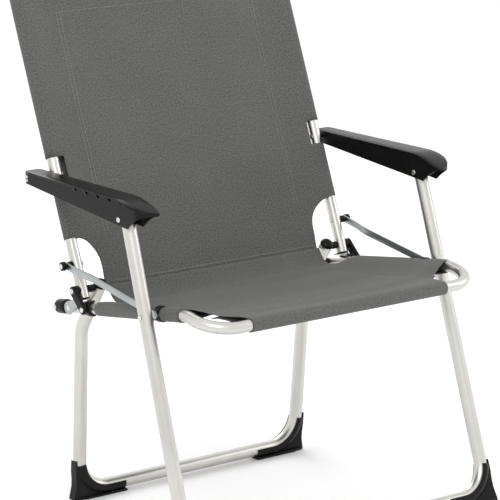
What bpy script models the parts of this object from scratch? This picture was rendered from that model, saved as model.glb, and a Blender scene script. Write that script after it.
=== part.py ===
"""Folding camp chair: aluminium tube frames, plastic armrests and a fabric sling.

Metres, +Z up, front of the chair towards -Y, standing on z = 0 and centred on the origin.
Every piece is drawn in a side plane (y, z) measured from the seat pivot, the bolt that joins
the seat frame, the front legs and the side struts.
"""
import math

import bmesh
import bpy
from mathutils import Matrix, Vector

# ---- clearances -------------------------------------------------------------------------
GAP = 0.0003                  # between pieces that touch
FREE = 0.0008                 # between pieces that turn past each other

# ---- tubes ------------------------------------------------------------------------------
LEG_RADIUS = 0.011            # front and rear leg tube
FRAME_RADIUS = 0.0095         # seat and back frame tube
TUBE_WALL = 0.0013
TUBE_SIDES = 12
BEND_STEPS = 6
ROUND_SIDES = 14
INSIDE = math.cos(math.pi / TUBE_SIDES)        # flats of a drawn tube, against its radius
AROUND = 1 / math.cos(math.pi / TUBE_SIDES)

# ---- widths, from the middle of the chair to the middle of the tube ------------------------
FRAME_HALF = 0.2645           # seat and back frame
FRONT_LEG_HALF_TOP = 0.2930   # front leg at its upper end
FRONT_LEG_HALF_FLOOR = 0.3008
REAR_LEG_HALF_TOP = 0.2315
REAR_LEG_HALF_FLOOR = 0.2250

# ---- side view --------------------------------------------------------------------------
SEAT_PIVOT_HEIGHT = 0.3823
SEAT_SLOPE = math.radians(8.97)       # the rails rise towards the front
BACK_LEAN = math.radians(21.69)
FRONT_LEG_LEAN = math.radians(18.3)
REAR_LEG_LEAN = math.radians(4.4)

BACK_CROSSING = 0.2110        # along the rail, from the seat pivot to the line of the back
RAIL_END = 0.2930             # rear end of the seat rail
REAR_PIVOT = 0.2450           # pivot of the rear leg on the seat rail
LINK_REST = 0.1944            # where the hinge link rests on the rail
SEAT_BEND = 0.0654            # in front of the seat pivot, where the rails turn down
SEAT_DROP = math.radians(20.2)
SEAT_NOSE = 0.0658            # from that bend to the middle of the front rail
SEAT_BEND_RADIUS = 0.070
SEAT_CORNER_RADIUS = 0.050

BACK_TUBE_FOOT = 0.0160       # up the back, from the crossing to the open end of the tube
BACK_PIVOT = 0.0297           # pivot of the rear leg on the back
STRUT_PIVOT = 0.0717          # rear pivot of the side strut
ARM_PIVOT = 0.2191            # rear pivot of the armrest
BACK_TOP = 0.5485             # middle of the top tube
BACK_CORNER_RADIUS = 0.045

ARM_FRONT_PIVOT = 0.1530      # up the front leg, from the seat pivot
FRONT_LEG_TOP = 0.1690        # end of the front leg tube
LEG_BAR_HEIGHT = 0.0145       # middle of the bars that lie on the floor
LEG_CORNER_RADIUS = 0.054
REAR_KNEE = 0.0580            # below the rear pivot, where the rear leg turns down
REAR_KNEE_RADIUS = 0.045
REAR_LEG_TIP = 0.0070         # tube beyond the back pivot

# ---- layers outside the frame, measured outwards from its tubes ----------------------------
SADDLE_THICKNESS = 0.0036
SADDLE_LENGTH = 0.0140
SADDLE_DEPTH = 0.0033         # inwards past the middle of the tube
PLATE_THICKNESS = 0.0025
LINK_THICKNESS = 0.0060
STRUT_THICKNESS = 0.0040
STRUT_WIDTH = 0.0120
STRUT_END_RADIUS = 0.0065
ARM_WALL = 0.0018

# ---- hinge ------------------------------------------------------------------------------
BOLT_RADIUS = 0.0025
HEAD_RADIUS = 0.0042
HEAD_HEIGHT = 0.0016
SINK_DEPTH = 0.0017
LINK_RADIUS = 0.0080
PLATE_RADIUS = 0.0110
PLATE_TIP_RADIUS = 0.0065
PLATE_REACH = 0.0280
PLATE_RISE = math.radians(30.0)
SPACER_RADIUS = 0.0062
ARM_SPACER_RADIUS = 0.0042
KNOB_RADIUS = 0.0070
KNOB_LENGTH = 0.0150

# ---- caps and feet ----------------------------------------------------------------------
CAP_THICKNESS = 0.0022
RAIL_CAP_LENGTH = 0.0300
RAIL_CAP_DOME = 0.0060
CAP_SCREW_BACK = 0.0075       # from the end of the rail to its cap screw
BALL_RADIUS = 0.0114
PLUG_STEM = 0.0030
FOOT_HALF_DEPTH = 0.0135
FOOT_UP_LEG = 0.0480
FOOT_ALONG_BAR = 0.0880
FOOT_CORNER = 0.0145

# ---- armrest ----------------------------------------------------------------------------
ARM_LENGTH_REAR = 0.0200      # behind its rear pivot
ARM_TOP_ABOVE = 0.0065        # top face above the rear pivot
ARM_REAR_DEPTH = 0.0200
ARM_FRONT_DEPTH = 0.0420
ARM_NOSE = 0.0650             # in front of its front pivot
ARM_NOSE_DROP = 0.0170
ARM_ROOF = 0.0030
ARM_LIP_REAR = 0.0010         # top plate beyond the outer wall
ARM_LIP_FRONT = 0.0075

# ---- fabric -----------------------------------------------------------------------------
CLOTH = 0.0009
SLEEVE_CLEAR = 0.0003
SEAT_SLEEVE_REAR = LINK_REST - SADDLE_LENGTH / 2 - 2 * FREE
SEAT_SLEEVE_FRONT = 0.0560    # in front of the seat pivot
FRONT_SLEEVE_HALF = 0.1880
BACK_SLEEVE_LOW = 0.1130      # up the back
ARM_NOTCH_LOW = 0.2060
ARM_NOTCH_HIGH = 0.2460
BACK_SCALLOP = 0.0600         # where the lower corner of the back panel has curved in
ARM_NOTCH_DEPTH = 0.0100      # inwards from the frame tube
SEAM_HEIGHT = 0.0150          # lower edge of the back panel, up the back from the crossing
SEAT_RISE = 0.0115            # rear edge of the seat panel, above the rails
SEAM_HALF = 0.2000
CLOTH_PANEL = 0.0012

X = Vector((1, 0, 0))


# ---- the side plane ---------------------------------------------------------------------
def point(x, side_point):
    return Vector((x, side_point[0], side_point[1]))


def along_rail(distance, rise=0.0):
    """Side point behind the seat pivot along the rail, and above it."""
    return Vector((distance * math.cos(SEAT_SLOPE) + rise * math.sin(SEAT_SLOPE),
                   SEAT_PIVOT_HEIGHT - distance * math.sin(SEAT_SLOPE)
                   + rise * math.cos(SEAT_SLOPE)))


def up_back(distance, behind=0.0):
    """Side point up the line of the back, and behind it."""
    start = along_rail(BACK_CROSSING)
    return Vector((start.x + distance * math.sin(BACK_LEAN) + behind * math.cos(BACK_LEAN),
                   start.y + distance * math.cos(BACK_LEAN) - behind * math.sin(BACK_LEAN)))


def up_front_leg(distance):
    return Vector((distance * math.sin(FRONT_LEG_LEAN),
                   SEAT_PIVOT_HEIGHT + distance * math.cos(FRONT_LEG_LEAN)))


def front_leg_floor():
    return up_front_leg((LEG_BAR_HEIGHT - SEAT_PIVOT_HEIGHT) / math.cos(FRONT_LEG_LEAN))


def front_leg_half(height):
    top = up_front_leg(FRONT_LEG_TOP).y
    share = (height - LEG_BAR_HEIGHT) / (top - LEG_BAR_HEIGHT)
    return FRONT_LEG_HALF_FLOOR + share * (FRONT_LEG_HALF_TOP - FRONT_LEG_HALF_FLOOR)


SEAT_PIVOT = Vector((0.0, SEAT_PIVOT_HEIGHT))
REAR_HINGE = along_rail(REAR_PIVOT)
BACK_HINGE = up_back(BACK_PIVOT)
LINK_FOOT = along_rail(LINK_REST)
STRUT_HINGE = up_back(STRUT_PIVOT)
ARM_REAR = up_back(ARM_PIVOT)
ARM_FRONT = up_front_leg(ARM_FRONT_PIVOT)
HINGE_RUN = (BACK_HINGE - REAR_HINGE).normalized()
KNEE = REAR_HINGE - HINGE_RUN * REAR_KNEE
REAR_FLOOR = Vector((KNEE.x + (KNEE.y - LEG_BAR_HEIGHT) * math.tan(REAR_LEG_LEAN),
                     LEG_BAR_HEIGHT))
REAR_TIP = BACK_HINGE + HINGE_RUN * REAR_LEG_TIP


def rear_leg_half(height):
    share = (height - LEG_BAR_HEIGHT) / (REAR_TIP.y - LEG_BAR_HEIGHT)
    return REAR_LEG_HALF_FLOOR + share * (REAR_LEG_HALF_TOP - REAR_LEG_HALF_FLOOR)


# layers, as distances from the middle of the chair
FRAME_OUT = FRAME_HALF + FRAME_RADIUS
FRAME_IN = FRAME_HALF - FRAME_RADIUS
PLATE_IN = FRAME_OUT + GAP
PLATE_OUT = PLATE_IN + PLATE_THICKNESS
LINK_IN = FRAME_OUT + GAP + CAP_THICKNESS + HEAD_HEIGHT + GAP
LINK_OUT = LINK_IN + LINK_THICKNESS
SLEEVE_RADIUS = FRAME_RADIUS + SLEEVE_CLEAR + CLOTH
STRUT_IN = FRAME_HALF + SLEEVE_RADIUS + GAP
STRUT_OUT = STRUT_IN + STRUT_THICKNESS
ARM_IN = STRUT_OUT + GAP
LEG_OUT_AT_SEAT = front_leg_half(SEAT_PIVOT_HEIGHT) + LEG_RADIUS


# ---- materials --------------------------------------------------------------------------
def material(name, colour, roughness, metallic=0.0):
    made = bpy.data.materials.new(name)
    made.use_nodes = True
    shader = made.node_tree.nodes["Principled BSDF"]
    shader.inputs["Base Color"].default_value = (*colour, 1.0)
    shader.inputs["Roughness"].default_value = roughness
    shader.inputs["Metallic"].default_value = metallic
    return made


# ---- shapes -----------------------------------------------------------------------------
def add(name, mesh_builder, finish, smooth=40.0):
    """Make an object from a filled bmesh, with outward faces and smooth round sides."""
    bmesh.ops.recalc_face_normals(mesh_builder, faces=mesh_builder.faces)
    mesh = bpy.data.meshes.new(name)
    mesh_builder.to_mesh(mesh)
    mesh_builder.free()
    mesh.shade_smooth()
    mesh.set_sharp_from_angle(angle=math.radians(smooth))
    made = bpy.data.objects.new(name, mesh)
    bpy.context.scene.collection.objects.link(made)
    if finish is not None:
        mesh.materials.append(finish)
    return made


def rounded(points, radii, steps=BEND_STEPS):
    """A path through points, with each inner corner turned at its radius."""
    path = [points[0]]
    for index in range(1, len(points) - 1):
        corner = points[index]
        back = (points[index - 1] - corner).normalized()
        ahead = (points[index + 1] - corner).normalized()
        half = back.angle(ahead) / 2
        radius = radii[index - 1]
        tangent = radius / math.tan(half)
        centre = corner + (back + ahead).normalized() * (radius / math.sin(half))
        first = corner + back * tangent - centre
        axis = first.cross(corner + ahead * tangent - centre).normalized()
        turn = math.pi - 2 * half
        for step in range(steps + 1):
            path.append(centre + Matrix.Rotation(turn * step / steps, 3, axis) @ first)
    path.append(points[-1])
    return path


def rings(path, radius, builder, sides=TUBE_SIDES):
    """One ring of vertices at each point of the path, turned with it."""
    made = []
    tangent = (path[1] - path[0]).normalized()
    normal = tangent.orthogonal().normalized()
    for index, place in enumerate(path):
        ahead = path[min(index + 1, len(path) - 1)] - path[max(index - 1, 0)]
        turned = ahead.normalized()
        normal = tangent.rotation_difference(turned) @ normal
        tangent = turned
        side = tangent.cross(normal)
        stretch = 1.0
        if 0 < index < len(path) - 1:
            bend = (path[index + 1] - place).angle(place - path[index - 1])
            stretch = 1.0 / math.cos(bend / 2)
        ring = []
        for step in range(sides):
            angle = 2 * math.pi * step / sides
            offset = normal * math.cos(angle) + side * math.sin(angle)
            ring.append(builder.verts.new(place + offset * radius * min(stretch, 1.02)))
        made.append(ring)
    return made


def skin(rows, builder):
    for lower, upper in zip(rows, rows[1:]):
        count = len(lower)
        for step in range(count):
            after = (step + 1) % count
            builder.faces.new((lower[step], lower[after], upper[after], upper[step]))


def tube(name, path, radius, finish):
    """A hollow tube with open ends."""
    builder = bmesh.new()
    outer = rings(path, radius, builder)
    inner = rings(path, radius - TUBE_WALL, builder)
    skin(outer, builder)
    skin(inner, builder)
    skin([outer[0], inner[0]], builder)
    skin([outer[-1], inner[-1]], builder)
    return add(name, builder, finish)


def rod(name, path, radius, finish=None, sides=TUBE_SIDES):
    """A solid rod along a path."""
    builder = bmesh.new()
    rows = rings(path, radius, builder, sides)
    skin(rows, builder)
    builder.faces.new(rows[0])
    builder.faces.new(rows[-1])
    return add(name, builder, finish)


def turned(name, start, direction, profile, finish=None, sides=ROUND_SIDES):
    """A piece turned on a lathe: profile holds (distance along, radius) from end to end."""
    builder = bmesh.new()
    direction = direction.normalized()
    normal = direction.orthogonal().normalized()
    side = direction.cross(normal)
    rows = []
    for distance, radius in profile:
        middle = start + direction * distance
        row = []
        for step in range(sides):
            angle = 2 * math.pi * step / sides
            row.append(builder.verts.new(
                middle + (normal * math.cos(angle) + side * math.sin(angle)) * radius))
        rows.append(row)
    skin(rows, builder)
    builder.faces.new(rows[0])
    builder.faces.new(rows[-1])
    return add(name, builder, finish)


def ring_piece(name, start, direction, length, outer, inner, finish, sides=ROUND_SIDES):
    """A plain bush, with a hole through it."""
    builder = bmesh.new()
    direction = direction.normalized()
    path = [start, start + direction * length]
    outside = rings(path, outer, builder, sides)
    inside = rings(path, inner, builder, sides)
    skin(outside, builder)
    skin(inside, builder)
    skin([outside[0], inside[0]], builder)
    skin([outside[-1], inside[-1]], builder)
    return add(name, builder, finish)


def plate(name, outline, x_from, x_to, finish=None, bevel=0.0):
    """A flat piece: a side view outline given thickness across the chair."""
    builder = bmesh.new()
    low = [builder.verts.new(point(x_from, place)) for place in outline]
    high = [builder.verts.new(point(x_to, place)) for place in outline]
    skin([low, high], builder)
    builder.faces.new(low)
    builder.faces.new(high)
    made = add(name, builder, finish, smooth=30.0)
    if bevel > 0:
        soften(made, bevel)
    return made


def soften(target, width, segments=1):
    bevel = target.modifiers.new("softened", 'BEVEL')
    bevel.width = width
    bevel.segments = segments
    bevel.limit_method = 'ANGLE'
    bevel.angle_limit = math.radians(40)
    return bevel


def capsule(first, second, radius_first, radius_second, steps=7):
    """Outline of a link with round ends."""
    run = (second - first).normalized()
    start = math.atan2(run.y, run.x)
    outline = []
    for centre, radius, turn in ((second, radius_second, -math.pi / 2),
                                 (first, radius_first, math.pi / 2)):
        for step in range(steps + 1):
            angle = start + turn + math.pi * step / steps
            outline.append(centre + Vector((math.cos(angle), math.sin(angle))) * radius)
    return outline


def cut(target, cutter, operation='DIFFERENCE'):
    cutter.hide_render = True
    cutter.display_type = 'WIRE'
    shape = target.modifiers.new(operation.lower(), 'BOOLEAN')
    shape.operation = operation
    shape.object = cutter
    shape.solver = 'EXACT'


def settle(target):
    """Apply a piece's modifiers and remove the cutters that they used."""
    evaluated = target.evaluated_get(bpy.context.evaluated_depsgraph_get())
    mesh = bpy.data.meshes.new_from_object(evaluated)
    cutters = {shape.object for shape in target.modifiers if shape.type == 'BOOLEAN'}
    target.modifiers.clear()
    target.data = mesh
    for cutter in cutters:
        bpy.data.objects.remove(cutter)


def drill(targets, place, x_from, x_to, radius=BOLT_RADIUS + GAP):
    """Drill one hole across the chair through each target."""
    for target in targets:
        cutter = turned("drill", point(x_from, place), X,
                        [(0.0, radius), (x_to - x_from, radius)], sides=10)
        cut(target, cutter)
        settle(target)


def mirrored(points):
    """A left hand path, followed by its mirror image back to the right hand end."""
    return points + [Vector((-place.x, place.y, place.z)) for place in reversed(points)]


# ---- frames -----------------------------------------------------------------------------
def seat_path():
    bend = along_rail(-SEAT_BEND)
    fall = SEAT_SLOPE - SEAT_DROP
    nose = Vector((bend.x - SEAT_NOSE * math.cos(fall), bend.y + SEAT_NOSE * math.sin(fall)))
    half = [point(-FRAME_HALF, side) for side in (along_rail(RAIL_END), bend, nose)]
    return half, (SEAT_BEND_RADIUS, SEAT_CORNER_RADIUS)


def back_path():
    half = [point(-FRAME_HALF, side) for side in (up_back(BACK_TUBE_FOOT), up_back(BACK_TOP))]
    return half, (BACK_CORNER_RADIUS,)


def front_leg_path():
    half = [point(-FRONT_LEG_HALF_TOP, up_front_leg(FRONT_LEG_TOP)),
            point(-FRONT_LEG_HALF_FLOOR, front_leg_floor())]
    return half, (LEG_CORNER_RADIUS,)


def rear_leg_path():
    half = [point(-REAR_LEG_HALF_TOP, REAR_TIP),
            point(-rear_leg_half(KNEE.y), KNEE),
            point(-REAR_LEG_HALF_FLOOR, REAR_FLOOR)]
    return half, (REAR_KNEE_RADIUS, LEG_CORNER_RADIUS)


def whole(path_and_radii):
    half, radii = path_and_radii
    return rounded(mirrored(half), tuple(radii) + tuple(reversed(radii)))


def build_frames(metal):
    frames = {
        "seat_frame": tube("seat_frame", whole(seat_path()), FRAME_RADIUS, metal),
        "back_frame": tube("back_frame", whole(back_path()), FRAME_RADIUS, metal),
        "front_leg_frame": tube("front_leg_frame", whole(front_leg_path()), LEG_RADIUS, metal),
        "rear_leg_frame": tube("rear_leg_frame", whole(rear_leg_path()), LEG_RADIUS, metal),
    }
    half_width = FRONT_LEG_HALF_FLOOR + LEG_RADIUS
    for hand in (-1, 1):
        span = (0.18, half_width) if hand > 0 else (-half_width, -0.18)
        drill([frames["seat_frame"], frames["front_leg_frame"]], SEAT_PIVOT, *span)
        drill([frames["seat_frame"], frames["rear_leg_frame"]], REAR_HINGE, *span)
        drill([frames["back_frame"], frames["rear_leg_frame"]], BACK_HINGE, *span)
        drill([frames["back_frame"]], STRUT_HINGE, *span)
        drill([frames["back_frame"]], ARM_REAR, *span)
        drill([frames["front_leg_frame"]], ARM_FRONT, *span)
        drill([frames["seat_frame"]], along_rail(RAIL_END - CAP_SCREW_BACK),
              *(sorted((hand * FRAME_HALF, hand * half_width))))
    return frames


# ---- small pieces -----------------------------------------------------------------------
def side_name(name, hand):
    return name + ("_right" if hand > 0 else "_left")


def bolt(name, place, hand, outer, inner, finish):
    """A bolt across the chair, with a domed head at each end, from outer to inner."""
    reach = outer - inner
    profile = [(-HEAD_HEIGHT, HEAD_RADIUS * 0.45), (-HEAD_HEIGHT * 0.8, HEAD_RADIUS * 0.75),
               (-HEAD_HEIGHT * 0.3, HEAD_RADIUS), (-GAP, HEAD_RADIUS),
               (-GAP, BOLT_RADIUS), (reach + GAP, BOLT_RADIUS),
               (reach + GAP, HEAD_RADIUS), (reach + HEAD_HEIGHT, HEAD_RADIUS * 0.8)]
    return turned(side_name(name, hand), point(hand * outer, place), -X * hand, profile, finish,
                  sides=10)


def screw(name, place, hand, outer, length, finish):
    """A screw in a blind hole, with its domed head on the outside."""
    profile = [(-HEAD_HEIGHT, HEAD_RADIUS * 0.45), (-HEAD_HEIGHT * 0.8, HEAD_RADIUS * 0.75),
               (-HEAD_HEIGHT * 0.3, HEAD_RADIUS), (-GAP, HEAD_RADIUS),
               (-GAP, BOLT_RADIUS), (length, BOLT_RADIUS)]
    return turned(side_name(name, hand), point(hand * outer, place), -X * hand, profile, finish,
                  sides=10)


def saddle(name, middle, run, hand, finish, layer):
    """A plastic half shell on the outside of a frame tube, flat where a layer turns against it."""
    reach = run * SADDLE_LENGTH / 2
    ends = [point(hand * FRAME_HALF, middle - reach), point(hand * FRAME_HALF, middle + reach)]
    axis = (ends[1] - ends[0]).normalized()
    made = ring_piece(side_name(name, hand), ends[0], axis, SADDLE_LENGTH,
                      FRAME_RADIUS + GAP + SADDLE_THICKNESS, (FRAME_RADIUS + GAP) * AROUND,
                      finish)
    half = FRAME_RADIUS + SADDLE_THICKNESS + 2 * GAP
    size = Vector((2 * half, 4 * half, 2 * SADDLE_LENGTH))
    turn = Matrix((X, axis.cross(X), axis)).transposed().to_4x4()
    middle = (ends[0] + ends[1]) / 2 - X * hand * (half + SADDLE_DEPTH)
    cut(made, block("trim", size, middle, turn))
    size = Vector((0.02, 4 * half, 2 * SADDLE_LENGTH))
    middle = (ends[0] + ends[1]) / 2
    middle.x = hand * (layer - GAP + size.x / 2)
    cut(made, block("flat", size, middle, turn))
    settle(made)
    return made


def build_hinges(metal, plastic, steel, frames):
    rail_run = Vector((math.cos(SEAT_SLOPE), -math.sin(SEAT_SLOPE)))
    back_run = Vector((math.sin(BACK_LEAN), math.cos(BACK_LEAN)))
    rise = Vector((-math.cos(PLATE_RISE), math.sin(PLATE_RISE)))
    plate_tip = REAR_HINGE + rise * PLATE_REACH
    for hand in (-1, 1):
        across = sorted((hand * (FRAME_IN - GAP), hand * (LEG_OUT_AT_SEAT + HEAD_HEIGHT)))
        # the rear leg's outer plate, and the link that stops the back on the rail
        low = plate(side_name("hinge_plate", hand),
                    capsule(REAR_HINGE, plate_tip, PLATE_RADIUS, PLATE_TIP_RADIUS),
                    *sorted((hand * PLATE_IN, hand * PLATE_OUT)), metal)
        sink = turned("sink", point(hand * (PLATE_OUT + GAP), REAR_HINGE), -X * hand,
                      [(0.0, HEAD_RADIUS + GAP), (GAP, HEAD_RADIUS + GAP),
                       (GAP + SINK_DEPTH, BOLT_RADIUS + GAP), (0.01, BOLT_RADIUS + GAP)],
                      sides=10)
        cut(low, sink)
        settle(low)
        link = plate(side_name("hinge_link", hand),
                     capsule(BACK_HINGE, LINK_FOOT, LINK_RADIUS, LINK_RADIUS),
                     *sorted((hand * LINK_IN, hand * LINK_OUT)), plastic, bevel=0.0012)
        drill([link], BACK_HINGE, *across)
        blind = sorted((hand * (LINK_OUT - 0.004 - GAP), hand * (LINK_OUT + HEAD_HEIGHT)))
        drill([link], LINK_FOOT, *blind)
        screw("link_rivet", LINK_FOOT, hand, LINK_OUT, 0.004, steel)
        # plastic saddles on the frame tubes
        pivot_saddle = saddle("seat_pivot_saddle", SEAT_PIVOT, rail_run, hand, plastic, STRUT_IN)
        drill([pivot_saddle], SEAT_PIVOT, *across)
        saddle("link_rest_saddle", LINK_FOOT, rail_run, hand, plastic, LINK_IN)
        washer = turned(side_name("back_hinge_saddle", hand), point(hand * FRAME_HALF, BACK_HINGE),
                        X * hand, [(0.0, LINK_RADIUS), (LINK_IN - GAP - FRAME_HALF, LINK_RADIUS)],
                        plastic)
        tube_run = [point(hand * FRAME_HALF, BACK_HINGE - back_run * 0.05),
                    point(hand * FRAME_HALF, BACK_HINGE + back_run * 0.05)]
        cut(washer, rod("tube", tube_run, (FRAME_RADIUS + GAP) * AROUND))
        settle(washer)
        drill([washer], BACK_HINGE, *across)
        # bushes between the frames and the rear legs
        for name, place in (("rear_hinge_spacer", REAR_HINGE), ("back_hinge_spacer", BACK_HINGE)):
            leg_out = rear_leg_half(place.y) + LEG_RADIUS
            ring_piece(side_name(name, hand), point(hand * (leg_out + GAP), place), X * hand,
                       FRAME_IN - leg_out - 2 * GAP, SPACER_RADIUS, BOLT_RADIUS + GAP, plastic)
        leg_in = rear_leg_half(BACK_HINGE.y) - LEG_RADIUS
        bolt("back_hinge_bolt", BACK_HINGE, hand, LINK_OUT, leg_in, steel)
        leg_in = rear_leg_half(REAR_HINGE.y) - LEG_RADIUS
        reach = PLATE_OUT - leg_in
        turned(side_name("rear_hinge_bolt", hand), point(hand * PLATE_OUT, REAR_HINGE), -X * hand,
               [(0.0, HEAD_RADIUS), (SINK_DEPTH, BOLT_RADIUS), (reach + GAP, BOLT_RADIUS),
                (reach + GAP, HEAD_RADIUS), (reach + HEAD_HEIGHT, HEAD_RADIUS * 0.8)],
               steel, sides=10)
        bolt("seat_pivot_bolt", SEAT_PIVOT, hand, LEG_OUT_AT_SEAT, FRAME_IN, steel)


def build_struts(metal, plastic, steel):
    for hand in (-1, 1):
        across = sorted((hand * FRAME_HALF, hand * (STRUT_OUT + KNOB_LENGTH + HEAD_HEIGHT)))
        strut = plate(side_name("side_strut", hand),
                      capsule(SEAT_PIVOT, STRUT_HINGE, STRUT_END_RADIUS, STRUT_END_RADIUS),
                      *sorted((hand * STRUT_IN, hand * STRUT_OUT)), metal, bevel=0.0010)
        drill([strut], SEAT_PIVOT, *across)
        drill([strut], STRUT_HINGE, *across)
        knob = ring_piece(side_name("strut_knob", hand), point(hand * (STRUT_OUT + GAP), STRUT_HINGE),
                          X * hand, KNOB_LENGTH, KNOB_RADIUS, BOLT_RADIUS + GAP, plastic)
        soften(knob, 0.0012)
        washer = STRUT_IN - FRAME_OUT - 2 * GAP
        ring_piece(side_name("strut_washer", hand), point(hand * (FRAME_OUT + GAP), STRUT_HINGE),
                   X * hand, washer, SPACER_RADIUS, BOLT_RADIUS + GAP, plastic)
        bolt("strut_bolt", STRUT_HINGE, hand, STRUT_OUT + GAP + KNOB_LENGTH, FRAME_IN, steel)


def build_caps(plastic, steel):
    back_run = Vector((0, math.sin(BACK_LEAN), math.cos(BACK_LEAN)))
    rail_run = Vector((0, math.cos(SEAT_SLOPE), -math.sin(SEAT_SLOPE)))
    leg_run = Vector((0, math.sin(FRONT_LEG_LEAN), math.cos(FRONT_LEG_LEAN)))
    bore = (FRAME_RADIUS - TUBE_WALL) * INSIDE - GAP
    leg_bore = (LEG_RADIUS - TUBE_WALL) * INSIDE - GAP
    for hand in (-1, 1):
        # foot of the back tube
        turned(side_name("back_tube_plug", hand), point(hand * FRAME_HALF, up_back(BACK_TUBE_FOOT)),
               -back_run, [(-PLUG_STEM, bore), (GAP, bore), (GAP, FRAME_RADIUS),
                           (0.0018, FRAME_RADIUS), (0.0026, FRAME_RADIUS * 0.8)], plastic)
        # top of the front leg, inside the armrest
        turned(side_name("front_leg_plug", hand),
               point(hand * FRONT_LEG_HALF_TOP, up_front_leg(FRONT_LEG_TOP)), leg_run,
               [(-PLUG_STEM, leg_bore), (GAP, leg_bore), (GAP, LEG_RADIUS),
                (0.0020, LEG_RADIUS * 0.9)], plastic)
        # ball cap on the upper end of the rear leg
        dome = [(-PLUG_STEM, leg_bore), (GAP, leg_bore), (GAP, BALL_RADIUS * 0.96)]
        for step in range(1, 8):
            angle = math.radians(-15 + step * 14)
            dome.append((0.0025 + BALL_RADIUS * 0.8 * math.sin(angle),
                         BALL_RADIUS * math.cos(angle)))
        run = Vector((0, HINGE_RUN.x, HINGE_RUN.y))
        turned(side_name("rear_leg_cap", hand), point(hand * REAR_LEG_HALF_TOP, REAR_TIP),
               run, dome, plastic, sides=ROUND_SIDES)
        # cap over the rear end of the seat rail
        outer = FRAME_RADIUS + GAP + CAP_THICKNESS
        inner = (FRAME_RADIUS + GAP) * AROUND
        start = point(hand * FRAME_HALF, along_rail(RAIL_END - RAIL_CAP_LENGTH + RAIL_CAP_DOME))
        straight = RAIL_CAP_LENGTH - RAIL_CAP_DOME
        cap = turned(side_name("seat_rail_cap", hand), start, rail_run,
                     [(straight + GAP, inner), (0.0, inner), (0.0, outer), (straight, outer),
                      (straight + RAIL_CAP_DOME * 0.6, outer * 0.86),
                      (straight + RAIL_CAP_DOME, outer * 0.5)], plastic, sides=ROUND_SIDES)
        place = along_rail(RAIL_END - CAP_SCREW_BACK)
        outside = FRAME_HALF + outer
        drill([cap], place, *sorted((hand * (FRAME_HALF + 0.004), hand * (outside + HEAD_HEIGHT))))
        screw("cap_screw", place, hand, outside, CAP_THICKNESS + TUBE_WALL, steel)


# ---- feet -------------------------------------------------------------------------------
def foot(name, path_and_radii, hand, plastic):
    """A corner shoe: the outside of the tube's bend, down to a flat base on the floor."""
    half, radii = path_and_radii
    left = half[-2:]
    top, corner = [Vector((-hand * place.x, place.y, place.z)) for place in left]
    up = (top - corner).normalized()
    inward = -X * hand
    normal = inward.cross(up).normalized()
    radius = radii[-1]
    shell = LEG_RADIUS + GAP + CAP_THICKNESS
    outline = [(FOOT_ALONG_BAR, 0.0)]
    for step in range(9):
        angle = math.pi / 2 * step / 8
        outline.append((radius - radius * math.sin(angle), radius - radius * math.cos(angle)))
    outline += [(0.0, FOOT_UP_LEG), (-shell, FOOT_UP_LEG), (-shell, FOOT_UP_LEG * 0.55),
                (-FOOT_CORNER, -LEG_BAR_HEIGHT * 0.5), (-FOOT_CORNER, -2 * LEG_BAR_HEIGHT),
                (FOOT_ALONG_BAR, -2 * LEG_BAR_HEIGHT)]
    builder = bmesh.new()
    near = []
    far = []
    for across, height in outline:
        place = corner + inward * across + up * height
        near.append(builder.verts.new(place - normal * FOOT_HALF_DEPTH))
        far.append(builder.verts.new(place + normal * FOOT_HALF_DEPTH))
    skin([near, far], builder)
    builder.faces.new(near)
    builder.faces.new(far)
    made = add(side_name(name, hand), builder, plastic)
    full = rounded([Vector((-hand * place.x, place.y, place.z)) for place in half]
                   + [corner + inward * 0.2], radii)
    cut(made, rod("bend", full, (LEG_RADIUS + GAP) * AROUND))
    below = bmesh.new()
    bmesh.ops.create_cube(below, size=0.3)
    bmesh.ops.translate(below, verts=below.verts, vec=(corner.x, corner.y, -0.15))
    cut(made, add("below", below, None))
    settle(made)
    return made


# ---- armrests ---------------------------------------------------------------------------
def arm_roof(hand, top_rear, top_front, brow, nose, inner, outer):
    """The top plate, whose lips stand out past the walls and widen towards the front."""
    builder = bmesh.new()
    rows = []
    for place, share in ((top_rear, 0.0), (top_front, 1.0), (brow, 1.0), (nose, 0.35)):
        lip = ARM_LIP_REAR + (ARM_LIP_FRONT - ARM_LIP_REAR) * share
        row = []
        for across, drop in ((inner, 0.0), (outer + lip, 0.0),
                             (outer + lip, ARM_ROOF), (inner, ARM_ROOF)):
            row.append(builder.verts.new((hand * across, place.x, place.y - drop)))
        rows.append(row)
    skin(rows, builder)
    builder.faces.new(rows[0])
    builder.faces.new(rows[-1])
    return add("roof", builder, None, smooth=30.0)


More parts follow.
